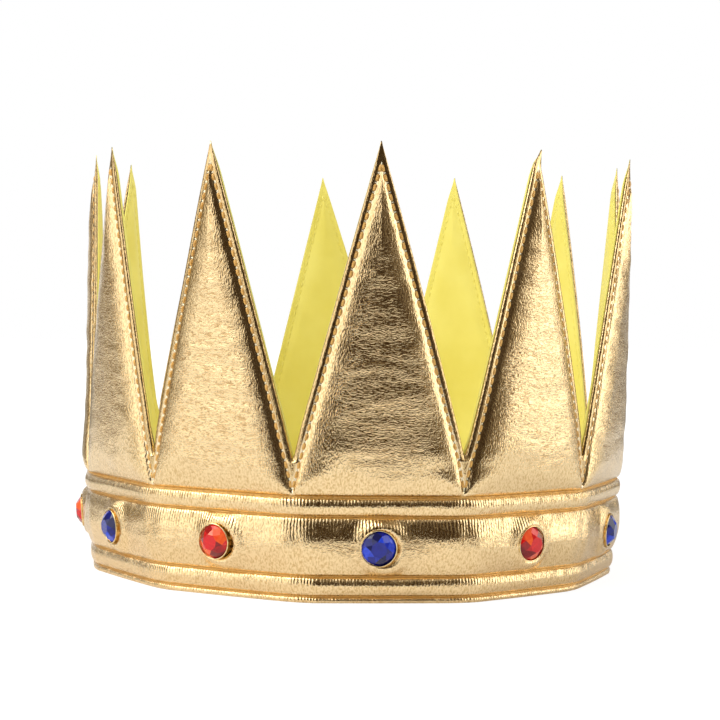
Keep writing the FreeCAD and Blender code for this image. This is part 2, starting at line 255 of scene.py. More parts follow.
@dataclass
class Quilting:
    """Where the stitches run, and how the padding swells between them, in metres."""

    plan: Plan
    stitch_foot: float = 31.5 * MM
    stitch_head: float = 123.4 * MM
    groove_depth: float = 0.45 * MM
    groove_reach: float = 0.42 * MM
    lip: float = 0.3 * MM
    lip_round: float = 0.35 * MM
    hem_puff: float = 0.55 * MM
    narrow_puff: float = 1.15 * MM
    wide_puff: float = 2.1 * MM
    point_puff: float = 1.75 * MM
    left_border: float = 8.0 * MM
    right_border: float = 6.0 * MM
    point_crown: float = 0.8 * MM
    border_rim: float = 1.3 * MM
    crown_reach: float = 11.0 * MM
    margin_fall: float = 0.62 * MM
    margin_width: float = 1.9 * MM
    stitch_inset: float = 0.35 * MM
    seam_inset: float = 0.5 * MM
    border_blend: float = 2.0 * MM
    side_blend: float = 2.5 * MM
    lip_foot: float = 0.5 * MM
    strip_foot: float = -0.4 * MM
    strip_rim: float = 0.09
    strip_shares: tuple[float, float] = (0.2, 0.85)
    border_shares: tuple[float, float] = (0.2, 0.8)
    pinch_share: float = 0.16
    pinch_reach: float = 2.6 * MM
    swell: float = 0.16 * MM
    swell_size: float = 14.0 * MM
    ripple_size: float = 11.0 * MM
    loose_from: float = 1.6 * MM
    pinch_band: tuple[float, float] = (0.6 * MM, 6.5 * MM)
    pinch_rise: tuple[float, float] = (-1.0 * MM, 9.0 * MM)
    tip_reach: float = 9.0 * MM
    tip_loss: float = 0.85
    drawn_depth: float = 0.22 * MM
    drawn_reach: float = 0.7 * MM
    pinch_lining: float = 0.8 * MM
    wadding_gap: float = 0.08 * MM
    wadding_least: float = 0.05 * MM
    pressed_wadding: float = 0.7 * MM
    pressed_reach: float = 10.0 * MM
    cover_thickness: float = 0.9 * MM
    cover_pinch: float = 0.35 * MM
    lining_thickness: float = 0.95 * MM
    lining_pinch: float = 0.4 * MM
    gem_seat: float = 1.93 * MM
    collar: float = 3.55 * MM
    setting_radius: float = 5.25 * MM
    seat_edge: tuple[float, float] = (-0.55 * MM, -0.05 * MM)
    collar_edge: tuple[float, float] = (0.3 * MM, 3.9 * MM)
    collar_reach: float = 13.0 * MM
    ring_pull: float = 0.58 * MM
    puckers: int = 17
    pucker_depth: float = 0.09 * MM
    pucker_radius: float = 7.4 * MM
    pucker_width: float = 1.2 * MM
    back: float = -2.8 * MM
    middle: float = -0.75 * MM

    def slant(self) -> float:
        """Cosine of the angle between a point's stitches and the upright."""
        return math.cos(math.atan2(self.plan.half_panel, self.stitch_head - self.stitch_foot))

    def stitch_half_width(self, height: np.ndarray) -> np.ndarray:
        """Half the distance between a point's two lines of stitches."""
        span = self.stitch_head - self.stitch_foot
        return self.plan.half_panel * (self.stitch_head - height) / span

    def inside_stitches(self, across: np.ndarray, height: np.ndarray) -> np.ndarray:
        """Distance in from the nearest edge stitches, negative outside them."""
        return (self.stitch_half_width(height) - np.abs(across) * self.plan.half_panel) * self.slant()

    def cut_half_width(self, height: np.ndarray) -> np.ndarray:
        """Half the width of a panel or point at each height."""
        share = (self.plan.tip - height) / (self.plan.tip - self.plan.valley)
        return self.plan.half_panel * np.clip(share, 0.0, 1.0)

    def seams(self) -> tuple[float, ...]:
        """Heights of the four seams of the band."""
        plan = self.plan
        return plan.hem_seam, plan.lower_seam, plan.upper_seam, plan.top_seam

    def strip_rise(self, height: np.ndarray) -> np.ndarray:
        """Swelling of the band's strips between their seams.

        Args:
            height: Heights above the hem.

        Returns:
            Distances along the outward normal.
        """
        hem, lower, upper, top = self.seams()
        rise = np.zeros_like(height)
        rim, body = self.strip_shares
        for low, high, puff in ((self.strip_foot, hem, self.hem_puff), (hem, lower, self.narrow_puff),
                                (lower, upper, self.wide_puff), (upper, top, self.narrow_puff)):
            depth = np.minimum(height - low, high - height)
            from_middle = 1.0 - 2.0 * depth / (high - low)
            rounded = arch(depth / (self.strip_rim * (high - low)))
            swollen = puff * (rim * rounded + body * (1.0 - from_middle ** 2))
            rise = np.where(depth > 0.0, swollen, rise)
        return rise

    def seam_distance(self, height: np.ndarray) -> np.ndarray:
        """Distance to the nearest seam of the band."""
        return np.min([np.abs(height - seam) for seam in self.seams()], axis=0)

    def point_rise(self, across: np.ndarray, height: np.ndarray) -> np.ndarray:
        """Swelling of a point inside its stitches, and the lip outside them.

        Args:
            across: -1 at the panel's left corner, 1 at its right one.
            height: Heights above the hem.

        Returns:
            Distances along the outward normal.
        """
        inside = self.inside_stitches(across, height)
        above = height - self.plan.top_seam
        depth = soft_min(inside - self.stitch_inset, above - self.seam_inset, self.border_blend)
        rightward = 0.5 + 0.5 * np.tanh(across * self.plan.half_panel / self.side_blend)
        border = self.left_border + (self.right_border - self.left_border) * rightward
        climb = 1.0 - (1.0 - np.clip(depth / border, 0.0, 1.0)) ** 2
        rim, body = self.border_shares
        swollen = (self.point_puff * (rim * arch(depth / self.border_rim) + body * climb)
                   + self.point_crown * (1.0 - np.exp(-np.maximum(depth, 0.0) / self.crown_reach)))
        edge = self.cut_half_width(height) - np.abs(across) * self.plan.half_panel
        lip = self.lip * arch(edge / self.lip_round) - 0.35 * self.lip
        lip = lip - self.margin_fall * (1.0 - np.clip(edge / self.margin_width, 0.0, 1.0))
        lip = np.where(height < self.plan.valley, 0.65 * self.lip, lip)
        return np.where(inside > 0.0, swollen, lip * smooth_step(0.0, self.lip_foot, -inside))

    def face_rise(self, index: int, across: np.ndarray, height: np.ndarray) -> np.ndarray:
        """How far the leatherette stands proud of the seams.

        Args:
            index: Panel number, counted to the right from the front.
            across: -1 at the panel's left corner, 1 at its right one.
            height: Heights above the hem.

        Returns:
            Distances along the outward normal.
        """
        top = self.plan.top_seam
        rise = np.where(height < top, self.strip_rise(height), self.point_rise(across, height))
        from_fold = (1.0 - np.abs(across)) * self.plan.half_panel
        pinch = 1.0 - self.pinch_share * np.exp(-(from_fold / self.pinch_reach) ** 2)
        rise = np.where(height < top, rise * pinch, rise)
        line = np.exp(-(self.seam_distance(height) / self.groove_reach) ** 2)
        stitched = (height > self.stitch_foot) & (height < self.stitch_head)
        edge_line = np.exp(-(self.inside_stitches(across, height) / self.groove_reach) ** 2)
        rise = rise - self.groove_depth * np.maximum(line, np.where(stitched, edge_line, 0.0))
        points, _ = self.plan.face(index, across, height)
        swell = (drift(points * [1.0, 1.0, 1.6], self.swell_size, 3.1) * 0.5
                 + drift(points * [0.6, 0.6, 2.2], self.ripple_size, 9.7))
        loose = np.clip(rise / self.loose_from, 0.0, 1.0)
        rise = rise + self.swell * swell * loose
        return self._seated(across, height, rise)

    def pinched(self, across: np.ndarray, height: np.ndarray) -> np.ndarray:
        """How far the layers are pressed together.

        Args:
            across: -1 at the panel's left corner, 1 at its right one.
            height: Heights above the hem.

        Returns:
            1 along the cut edges, 0 well inside them.
        """
        edge = self.cut_half_width(height) - np.abs(across) * self.plan.half_panel
        low, high = self.pinch_rise
        above = smooth_step(self.plan.valley + low, self.plan.valley + high, height)
        return (1.0 - smooth_step(*self.pinch_band, edge)) * above

    def tip_share(self, height: np.ndarray) -> np.ndarray:
        """How much of the layers' thickness is left towards a tip."""
        return 1.0 - self.tip_loss * smooth_step(self.plan.tip - self.tip_reach, self.plan.tip, height)

    def front(self, index: int, across: np.ndarray, height: np.ndarray) -> np.ndarray:
        """The leatherette's face, brought in to a fine point at a tip."""
        share = self.tip_share(height)
        return self.face_rise(index, across, height) * share + self.middle * (1.0 - share)

    def front_back(self, index: int, across: np.ndarray, height: np.ndarray) -> np.ndarray:
        """The leatherette's hidden side."""
        thickness = self.cover_thickness - self.cover_pinch * self.pinched(across, height)
        return self.front(index, across, height) - thickness * self.tip_share(height)

    def lining_front(self, index: int, across: np.ndarray, height: np.ndarray) -> np.ndarray:
        """The lining's hidden side."""
        thickness = self.lining_thickness - self.lining_pinch * self.pinched(across, height)
        return self.lining_back(index, across, height) + thickness * self.tip_share(height)

    def lining_back(self, index: int, across: np.ndarray, height: np.ndarray) -> np.ndarray:
        """The lining's visible face, drawn in at every line of stitches.

        Args:
            index: Panel number, counted to the right from the front.
            across: -1 at the panel's left corner, 1 at its right one.
            height: Heights above the hem.

        Returns:
            Distances along the outward normal.
        """
        beside = np.abs(self.inside_stitches(across, height))
        near = np.minimum(self.seam_distance(height), beside)
        drawn = self.drawn_depth * np.exp(-(near / self.drawn_reach) ** 2)
        back = self.back + self.pinch_lining * self.pinched(across, height) + drawn
        share = self.tip_share(height)
        return back * share + self.middle * (1.0 - share)

    def wadding_front(self, index: int, across: np.ndarray, height: np.ndarray) -> np.ndarray:
        """The wadding's outer face, pressed thin under a setting.

        Args:
            index: Panel number, counted to the right from the front.
            across: -1 at the panel's left corner, 1 at its right one.
            height: Heights above the hem.

        Returns:
            Distances along the outward normal.
        """
        gap = np.hypot(across * self.plan.half_panel, height - self.plan.gem_height)
        under = self.front_back(index, across, height) - self.wadding_gap
        pressed = np.where(gap < self.pressed_reach, np.minimum(under, self.pressed_wadding), under)
        return np.maximum(pressed, self.wadding_back(index, across, height) + self.wadding_least)

    def wadding_back(self, index: int, across: np.ndarray, height: np.ndarray) -> np.ndarray:
        """The wadding's inner face."""
        return self.lining_front(index, across, height) + self.wadding_least

    def _seated(self, across: np.ndarray, height: np.ndarray, rise: np.ndarray) -> np.ndarray:
        """Press the leatherette down where a setting is riveted through it.

        Args:
            across: -1 at the panel's left corner, 1 at its right one.
            height: Heights above the hem.
            rise: Distances along the outward normal without the settings.

        Returns:
            The distances with a seat and a collar for each setting.
        """
        sideways = across * self.plan.half_panel
        upward = height - self.plan.gem_height
        gap = np.hypot(sideways, upward)
        turn = np.arctan2(upward, sideways)
        seat = self.gem_seat - self.plan.bow
        beyond = gap - self.setting_radius
        held = smooth_step(*self.seat_edge, beyond)
        collar = self.collar - self.plan.bow
        blend = smooth_step(*self.collar_edge, beyond)
        around = collar * (1 - blend) + np.minimum(rise, collar) * blend
        ring = np.exp(-((gap - self.pucker_radius) / self.pucker_width) ** 2)
        pucker = self.pucker_depth * np.cos(self.puckers * turn + 1.3) * ring
        pressed = seat * (1 - held) + np.maximum(around, rise * blend) * held + pucker
        return np.where(gap < self.collar_reach, pressed, rise)

    def ringed(self, across: np.ndarray, height: np.ndarray) -> tuple[np.ndarray, np.ndarray]:
        """Draw the vertices next to a setting onto its circle.

        Args:
            across: -1 at the panel's left corner, 1 at its right one.
            height: Heights above the hem.

        Returns:
            The same places, with those near a setting moved onto its circle.
        """
        sideways = across * self.plan.half_panel
        upward = height - self.plan.gem_height
        gap = np.maximum(np.hypot(sideways, upward), 1e-9)
        close = np.abs(gap - self.setting_radius) < self.ring_pull
        wanted = np.where(close, self.setting_radius, gap)
        share = wanted / gap
        return sideways * share / self.plan.half_panel, self.plan.gem_height + upward * share


def new_object(name: str, vertices: Sequence, faces: Sequence, smooth: bool = True) -> bpy.types.Object:
    """A mesh object at the origin.

    Args:
        name: Name of the piece.
        vertices: Points in metres.
        faces: Lists of vertex numbers.
        smooth: Whether the faces are shaded smooth.

    Returns:
        The new object, linked to the scene.
    """
    mesh = bpy.data.meshes.new(name)
    mesh.from_pydata([tuple(map(float, point)) for point in vertices], [], faces)
    mesh.validate()
    mesh.polygons.foreach_set("use_smooth", [smooth] * len(mesh.polygons))
    piece = bpy.data.objects.new(name, mesh)
    bpy.context.collection.objects.link(piece)
    return piece


def finish_piece(piece: bpy.types.Object, material: bpy.types.Material, slot: str, *nodes: str) -> None:
    """Give a piece its finish and its body, and hide the solids of the frame that it stands for.

    Args:
        piece: The Blender piece.
        material: Its finish.
        slot: The record's material slot; not used.
        *nodes: Solids of the frame that it replaces.
    """
    piece.data.materials.clear()
    piece.data.materials.append(material)
    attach(piece, "root")
    if nodes:
        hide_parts(*nodes)
    LOG.info("%s: %d faces", piece.name, len(piece.data.polygons))


@dataclass
class Layer:
    """One layer of the crown: a closed skin between an outer and an inner face."""

    plan: Plan
    quilting: Quilting
    outer: Callable[[int, np.ndarray, np.ndarray], np.ndarray]
    inner: Callable[[int, np.ndarray, np.ndarray], np.ndarray]
    edge_columns: tuple[float, ...]
    middle_columns: int
    band_rows: tuple[float, ...]
    point_rows: int
    edge_inset: float = 0.0
    fine_side: Side = Side.OUTSIDE
    stride: int = 4
    least_half_width: float = 0.12 * MM
    inset_rise: float = 3.0 * MM
    edge_room: float = 1.5
    row_power: float = 0.97
    far: float = 50.0

    def columns(self, height: float) -> np.ndarray:
        """Places across a panel at one height.

        Args:
            height: Height above the hem.

        Returns:
            Shares of half a panel, from the left cut edge to the right one.
        """
        half = self.plan.half_panel
        cut = half
        if height > self.plan.valley:
            cut = float(self.quilting.cut_half_width(np.array([height]))[0])
        rise = smooth_step(self.plan.valley, self.plan.valley + self.inset_rise, height)
        cut = max(cut - self.edge_inset * float(rise), self.least_half_width)
        squeeze = min(1.0, cut / (self.edge_columns[-1] * self.edge_room))
        steps = [cut - edge * squeeze for edge in self.edge_columns]
        inner = np.linspace(-steps[-1], steps[-1], self.middle_columns + 1)[1:-1]
        row = [-step for step in steps] + list(inner) + list(reversed(steps))
        return np.array(row) / half

    def build(self, name: str) -> bpy.types.Object:
        """Make the layer's mesh.

        Args:
            name: Name of the piece.

        Returns:
            The layer as one closed mesh.
        """
        plan = self.plan
        count = 2 * len(self.edge_columns) + self.middle_columns - 2
        head = plan.tip - self.edge_inset * 4
        climb = np.linspace(0, 1, self.point_rows + 1)[1:] ** self.row_power
        point_rows = plan.valley + (head - plan.valley) * climb
        heights = list(self.band_rows) + list(point_rows)
        foot = len(self.band_rows) - 1
        outside = self.fine_side is Side.OUTSIDE
        fine, coarse = (self.outer, self.inner) if outside else (self.inner, self.outer)
        vertices: list[np.ndarray] = []
        number: dict[tuple[int, int, int, int], int] = {}
        facts: list[tuple[np.ndarray, np.ndarray]] = []
        sheets: list[list[np.ndarray]] = []
        for index in range(plan.panels):
            across = np.concatenate([self.columns(height) for height in heights])
            level = np.repeat(np.array(heights), count + 1)
            if outside:
                across, level = self.quilting.ringed(across, level)
            points, normals = plan.face(index, across, level)
            sheets.append([points + normals * rise(index, across, level)[:, None]
                           for rise in (fine, coarse)])
            facts.append((across, level))

        def key(side: int, index: int, row: int, column: int) -> int:
            """Number of the vertex at a place, shared between neighbours below the valleys.

            Args:
                side: 0 for the fine side, 1 for the coarse one.
                index: Panel number.
                row: Row, counted up from the hem.
                column: Column, counted from the left.

            Returns:
                The vertex number, new if the place had none.
            """
            if row <= foot and column == count:
                index, column = (index + 1) % plan.panels, 0
            place = (side, index, row, column)
            if place not in number:
                number[place] = len(vertices)
                vertices.append(sheets[index][side][row * (count + 1) + column])
            return number[place]

        faces = self._fine_faces(key, count, len(heights))
        faces += self._coarse_faces(key, count, foot, len(heights))
        faces += self._rim_faces(key, count, foot, len(heights))
        if not outside:
            faces = [face[::-1] for face in faces]
        piece = new_object(name, vertices, faces)
        self._mark(piece, number, facts, count)
        return piece

    def _fine_faces(self, key: Callable, count: int, rows: int) -> list:
        """Faces of the side that shows.

        Args:
            key: Gives a vertex number for a side, panel, row and column.
            count: Faces across a panel.
            rows: Rows of vertices.

        Returns:
            Lists of vertex numbers.
        """
        return [[key(0, index, row, column), key(0, index, row, column + 1),
                 key(0, index, row + 1, column + 1), key(0, index, row + 1, column)]
                for index in range(self.plan.panels)
                for row in range(rows - 1) for column in range(count)]

    def _coarse_faces(self, key: Callable, count: int, foot: int, rows: int) -> list:
        """Faces of the hidden side, larger, that still meet every vertex of the rim.

        Args:
            key: Gives a vertex number for a side, panel, row and column.
            count: Faces across a panel.
            foot: Row at the foot of the valleys.
            rows: Rows of vertices.

        Returns:
            Lists of vertex numbers.
        """
        def steps(first: int, last: int) -> list[int]:
            """Every so many places from first, with last."""
            return list(range(first, last, self.stride)) + [last]

        row_steps = steps(0, foot) + steps(foot, rows - 1)[1:]
        column_steps = steps(0, count)
        faces = []
        for index in range(self.plan.panels):
            for low, high in zip(row_steps, row_steps[1:]):
                for left, right in zip(column_steps, column_steps[1:]):
                    bottom = range(left, right) if low == 0 else [left]
                    cut_right = right == count and low >= foot
                    up = range(low, high) if cut_right else [low]
                    top = range(right, left, -1) if high == rows - 1 else [right]
                    cut_left = left == 0 and low >= foot
                    down = range(high, low, -1) if cut_left else [high]
                    face = ([key(1, index, low, column) for column in bottom]
                            + [key(1, index, row, right) for row in up]
                            + [key(1, index, high, column) for column in top]
                            + [key(1, index, row, left) for row in down])
                    faces.append(face[::-1])
        return faces

    def _rim_faces(self, key: Callable, count: int, foot: int, rows: int) -> list:
        """Faces along the hem, the cut edges and the tips.

        Args:
            key: Gives a vertex number for a side, panel, row and column.
            count: Faces across a panel.
            foot: Row at the foot of the valleys.
            rows: Rows of vertices.

        Returns:
            Lists of vertex numbers.
        """
        runs = []
        for index in range(self.plan.panels):
            runs.append([(index, 0, column) for column in range(count + 1)][::-1])
            runs.append([(index, row, count) for row in range(foot, rows)][::-1])
            runs.append([(index, row, 0) for row in range(foot, rows)])
            runs.append([(index, rows - 1, column) for column in range(count + 1)])
        return [[key(0, *one), key(0, *two), key(1, *two), key(1, *one)]
                for run in runs for one, two in zip(run, run[1:])]

    def _mark(self, piece: bpy.types.Object, number: dict, facts: list, count: int) -> None:
        """Store each vertex's distance from the stitches, in millimetres, for the finish.

        Args:
            piece: The layer's mesh object.
            number: Vertex number at each side, panel, row and column.
            facts: Places across and heights of each panel's vertices.
            count: Faces across a panel.
        """
        total = len(piece.data.vertices)
        edge, seam, below = (np.full(total, self.far) for _ in range(3))
        for index, (across, level) in enumerate(facts):
            inside = self.quilting.inside_stitches(across, level) / MM
            inside = np.where(level > self.quilting.stitch_foot - 1 * MM, inside, self.far)
            beside = self.quilting.seam_distance(level) / MM
            under = np.min([np.where(level <= height, height - level, self.far * MM)
                            for height in self.quilting.seams()], axis=0) / MM
            for place, vertex in number.items():
                if place[1] == index:
                    spot = place[2] * (count + 1) + place[3]
                    edge[vertex] = inside[spot]
                    seam[vertex] = beside[spot]
                    below[vertex] = under[spot]
        for name, values in (("edge_stitch", edge), ("band_seam", seam), ("below_seam", below)):
            layer = piece.data.attributes.new(name, "FLOAT", "POINT")
            layer.data.foreach_set("value", values)


@dataclass
class Thread:
    """A run of single stitches along a line on the ring."""

    plan: Plan
    quilting: Quilting
    pitch: float = 2.8 * MM
    stitch: float = 2.3 * MM
    radius: float = 0.46 * MM
    ridge_radius: float = 0.24 * MM
    ridge_reach: float = 1.0 * MM
    ridge_heave: float = 0.5 * MM
    ridge_sag: float = 0.1 * MM
    end_share: float = 0.62
    flatness: float = 0.9
    edge_foot: float = 0.6 * MM
    edge_across: float = 0.993
    sides: int = 6
    heave: tuple[float, ...] = (-0.42, 0.12, 0.26, 0.12, -0.42)
    spots: tuple[float, ...] = (0.0, 0.14, 0.5, 0.86, 1.0)

    def along_line(self, index: int, start: tuple[float, float], end: tuple[float, float],
                   side: Side) -> list[tuple[np.ndarray, np.ndarray]]:
        """Centre lines and normals of the stitches on one straight run.

        Args:
            index: Panel number.
            start: Across and height where the run starts.
            end: Across and height where it ends.
            side: Which face of the ring it lies on.

        Returns:
            A list of point and normal rows, one pair a stitch.
        """
        half = self.plan.half_panel
        length = math.hypot((end[0] - start[0]) * half, end[1] - start[1])
        total = max(1, round(length / self.pitch))
        share = self.stitch / self.pitch
        stitches = []
        for number in range(total):
            places = (number + (1 - share) / 2 + share * np.array(self.spots)) / total
            across = start[0] + (end[0] - start[0]) * places
            height = start[1] + (end[1] - start[1]) * places
            points, normals = self.plan.face(index, across, height)
            if side is Side.OUTSIDE:
                base = self.quilting.front(index, across, height)
                facing = normals
            else:
                base = self.quilting.lining_back(index, across, height)
                facing = -normals
            lifted = points + normals * base[:, None] + facing * (np.array(self.heave) * MM)[:, None]
            stitches.append((lifted, facing))
        return stitches

    def bars(self, stitches: Sequence[tuple[np.ndarray, np.ndarray]]) -> list:
        """Short ridges of leatherette drawn up across the line at the needle's holes.

        Args:
            stitches: Centre lines and normals of the stitches.

        Returns:
            Centre lines and normals of the ridges.
        """
        ridges = []
        for (line, normals), (following, _) in zip(stitches, stitches[1:]):
            step = following[0] - line[-1]
            if np.linalg.norm(step) > self.pitch:
                continue
            heading = step / np.linalg.norm(step)
            across = np.cross(heading, normals[-1])
            centre = (line[-1] + following[0]) / 2 + normals[-1] * self.ridge_heave
            reach = across / np.linalg.norm(across) * self.ridge_reach
            sunk = normals[-1] * self.ridge_sag
            places = [centre - reach - sunk, centre, centre + reach - sunk]
            ridges.append((np.array(places), np.array([normals[-1]] * 3)))
        return ridges

    def mesh(self, name: str, stitches: Sequence[tuple[np.ndarray, np.ndarray]],
             ridged: bool = False) -> bpy.types.Object:
        """One piece with a short round strand for every stitch.

        Args:
            name: Name of the piece.
            stitches: Centre lines and normals.
            ridged: Whether ridges cross the line at the needle's holes; their finish gives them a
                painted highlight.

        Returns:
            The piece.
        """
        vertices: list[np.ndarray] = []
        faces: list[list[int]] = []
        self._strands(vertices, faces, stitches, self.radius)
        plain = len(faces)
        if ridged:
            self._strands(vertices, faces, self.bars(stitches), self.ridge_radius)
        piece = new_object(name, vertices, faces)
        marks = piece.data.attributes.new("ridge", "FLOAT", "FACE")
        crossing = len(piece.data.polygons) - plain
        marks.data.foreach_set("value", [0.0] * plain + [1.0] * crossing)
        return piece

    def _strands(self, vertices: list, faces: list, stitches: Sequence, radius: float) -> None:
        """Add a short round strand along each centre line.

        Args:
            vertices: Points of the piece so far.
            faces: Faces of the piece so far.
            stitches: Centre lines and normals.
            radius: Half the strand's width.
        """
        turns = np.arange(self.sides) * 2 * math.pi / self.sides
        for line, normals in stitches:
            heading = line[-1] - line[0]
            heading = heading / np.linalg.norm(heading)
            first = len(vertices)
            for ring, (point, normal) in enumerate(zip(line, normals)):
                across = np.cross(heading, normal)
                across = across / np.linalg.norm(across)
                thick = radius * (self.end_share if ring in (0, len(line) - 1) else 1.0)
                for turn in turns:
                    vertices.append(point + across * math.cos(turn) * thick
                                    + normal * math.sin(turn) * thick * self.flatness)
            for ring in range(len(line) - 1):
                for side in range(self.sides):
                    ahead = (side + 1) % self.sides
                    low, high = first + ring * self.sides, first + (ring + 1) * self.sides
                    faces.append([low + side, low + ahead, high + ahead, high + side])
            faces.append([first + side for side in reversed(range(self.sides))])
            last = first + (len(line) - 1) * self.sides
            faces.append([last + side for side in range(self.sides)])

    def edge_run(self, side: Side) -> list:
        """Stitches up and down every point, in from its cut edges.

        Args:
            side: Which face of the ring they lie on.

        Returns:
            Centre lines and normals.
        """
        foot, head = self.quilting.stitch_foot + self.edge_foot, self.quilting.stitch_head
        stitches = []
        for index in range(self.plan.panels):
            stitches += self.along_line(index, (-self.edge_across, foot), (0.0, head), side)
            stitches += self.along_line(index, (0.0, head), (self.edge_across, foot), side)
        return stitches

    def seam_run(self, height: float, side: Side) -> list:
        """Stitches all round the band at one seam.

        Args:
            height: Height of the seam above the hem.
            side: Which face of the ring they lie on.

        Returns:
            Centre lines and normals.
        """
        stitches = []
        for index in range(self.plan.panels):
            stitches += self.along_line(index, (-1.0, height), (1.0, height), side)
        return stitches


@dataclass
class Cut:
    """A faceted stone: girdle, upper facets, kites, stars and a table."""

    radius: float = 4.9 * MM
    table: float = 2.35 * MM
    girdle: float = 1.0 * MM
    crown: float = 2.2 * MM
    break_radius: float = 3.75 * MM
    facets: int = 8

    def shape(self) -> tuple[list, list]:
        """Lay out a stone that stands on its flat back.

        Returns:
            Its vertices and its faces.
        """
        top = self.girdle + self.crown
        step = 2 * math.pi / self.facets
        fall = self.crown / (self.radius - self.table)
        middle = top - fall * (self.break_radius * math.cos(step / 2) - self.table)
        count = self.facets
        ring = [(self.table, top, step, 0.0, count), (self.break_radius, middle, step, 0.5, count),
                (self.radius, self.girdle, step / 2, 0.0, 2 * count),
                (self.radius, 0.0, step / 2, 0.0, 2 * count)]
        vertices = []
        for radius, height, turn, offset, total in ring:
            angles = [(spot + offset) * turn for spot in range(total)]
            vertices += [(radius * math.cos(angle), radius * math.sin(angle), height)
                         for angle in angles]
        table, star, edge, foot = 0, count, 2 * count, 4 * count
        faces = [[table + spot for spot in range(count)]]
        for spot in range(count):
            ahead = (spot + 1) % count
            before = (spot - 1) % count
            even, odd, following = 2 * spot, 2 * spot + 1, 2 * ahead
            faces.append([table + ahead, table + spot, star + spot])
            faces.append([table + spot, star + before, edge + even, star + spot])
            faces.append([star + spot, edge + even, edge + odd])
            faces.append([star + spot, edge + odd, edge + following])
        for spot in range(2 * count):
            ahead = (spot + 1) % (2 * count)
            faces.append([edge + spot, foot + spot, foot + ahead, edge + ahead])
        faces.append([foot + spot for spot in reversed(range(2 * count))])
        return vertices, faces


@dataclass
class Setting:
    """A thin metal cup with a rolled rim, and the post that holds it."""

    radius: float = 5.25 * MM
    wall: float = 0.3 * MM
    floor: float = 0.5 * MM
    rim: float = 1.9 * MM
    post: float = 1.2 * MM
    post_length: float = 5.58 * MM
    post_fillet: float = 0.25 * MM
    foot_fillet: float = 0.35 * MM
    floor_fillet: float = 0.1 * MM
    turns: int = 48

    def outline(self) -> list[tuple[float, float]]:
        """Section of the cup, from the post's end to the floor.

        Returns:
            Pairs of radius and height.
        """
        lip = self.wall * 0.62
        centre = self.radius - self.wall * 0.5
        angles = [math.radians(angle) for angle in range(-60, 241, 30)]
        roll = [(centre + lip * math.cos(angle), self.rim - lip * 0.4 + lip * math.sin(angle))
                for angle in angles]
        post = [(0.0, -self.post_length), (self.post, -self.post_length), (self.post, -self.post_fillet)]
        outside = [(self.radius - self.foot_fillet, 0.0), (self.radius, self.wall)]
        inside = [(self.radius - self.wall, self.floor + self.floor_fillet),
                  (self.radius - self.floor, self.floor), (0.0, self.floor)]
        return post + outside + roll + inside

    def shape(self) -> tuple[list, list]:
        """Turn the cup's section about its axis.

        Returns:
            Its vertices and its faces.
        """
        outline = self.outline()
        vertices = [(0.0, 0.0, outline[0][1])]
        for radius, height in outline[1:-1]:
            for turn in range(self.turns):
                angle = 2 * math.pi * turn / self.turns
                vertices.append((radius * math.cos(angle), radius * math.sin(angle), height))
        vertices.append((0.0, 0.0, outline[-1][1]))
        last = len(vertices) - 1
        faces = []
        for turn in range(self.turns):
            ahead = (turn + 1) % self.turns
            faces.append([0, 1 + ahead, 1 + turn])
            for ring in range(len(outline) - 3):
                low, high = 1 + ring * self.turns, 1 + (ring + 1) * self.turns
                faces.append([low + turn, low + ahead, high + ahead, high + turn])
            high = 1 + (len(outline) - 3) * self.turns
            faces.append([high + turn, high + ahead, last])
        return vertices, faces


class Nodes:
    """A small helper that adds and joins the nodes of one tree."""

    def __init__(self, tree: bpy.types.NodeTree) -> None:
        """Take the tree to work on."""
        self.tree = tree

    def node(self, kind: str, **values: object) -> bpy.types.Node:
        """Add a node.

        Args:
            kind: Blender's name for the node.
            **values: Properties to set on it.

        Returns:
            The node.
        """
        made = self.tree.nodes.new(kind)
        for name, value in values.items():
            setattr(made, name, value)
        return made

    def join(self, source: bpy.types.NodeSocket, target: bpy.types.NodeSocket) -> None:
        """Link two sockets."""
        self.tree.links.new(source, target)

    def math(self, kind: str, one: object, two: object = 0.0,
             clamp: bool = False) -> bpy.types.NodeSocket:
        """Add a math node.

        Args:
            kind: Its operation.
            one: First socket or number.
            two: Second socket or number.
            clamp: Whether the result is kept between 0 and 1.

        Returns:
            The result.
        """
        made = self.node("ShaderNodeMath", operation=kind, use_clamp=clamp)
        for socket, value in zip(made.inputs, (one, two)):
            if isinstance(value, bpy.types.NodeSocket):
                self.join(value, socket)
            else:
                socket.default_value = value
        return made.outputs[0]

    def ramp(self, source: bpy.types.NodeSocket,
             stops: Sequence[tuple[float, tuple]]) -> bpy.types.NodeSocket:
        """Add a colour ramp.

        Args:
            source: What runs along it.
            stops: Places and colours.

        Returns:
            The colour.
        """
        made = self.node("ShaderNodeValToRGB")
        while len(made.color_ramp.elements) < len(stops):
            made.color_ramp.elements.new(0.5)
        for element, (place, colour) in zip(made.color_ramp.elements, stops):
            element.position = place
            element.color = (*colour, 1.0)
        self.join(source, made.inputs[0])
        return made.outputs[0]

    def mix(self, share: object, one: object, two: object) -> bpy.types.NodeSocket:
        """Mix two colours.

        Args:
            share: Socket or number, 0 for the first colour and 1 for the second.
            one: First socket or colour.
            two: Second socket or colour.

        Returns:
            The mixed colour.
        """
        made = self.node("ShaderNodeMix", data_type="RGBA")
        for place, value in ((0, share), (6, one), (7, two)):
            socket = made.inputs[place]
            if isinstance(value, bpy.types.NodeSocket):
                self.join(value, socket)
            elif isinstance(value, tuple):
                socket.default_value = (*value, 1.0)
            else:
                socket.default_value = value
        return made.outputs[2]


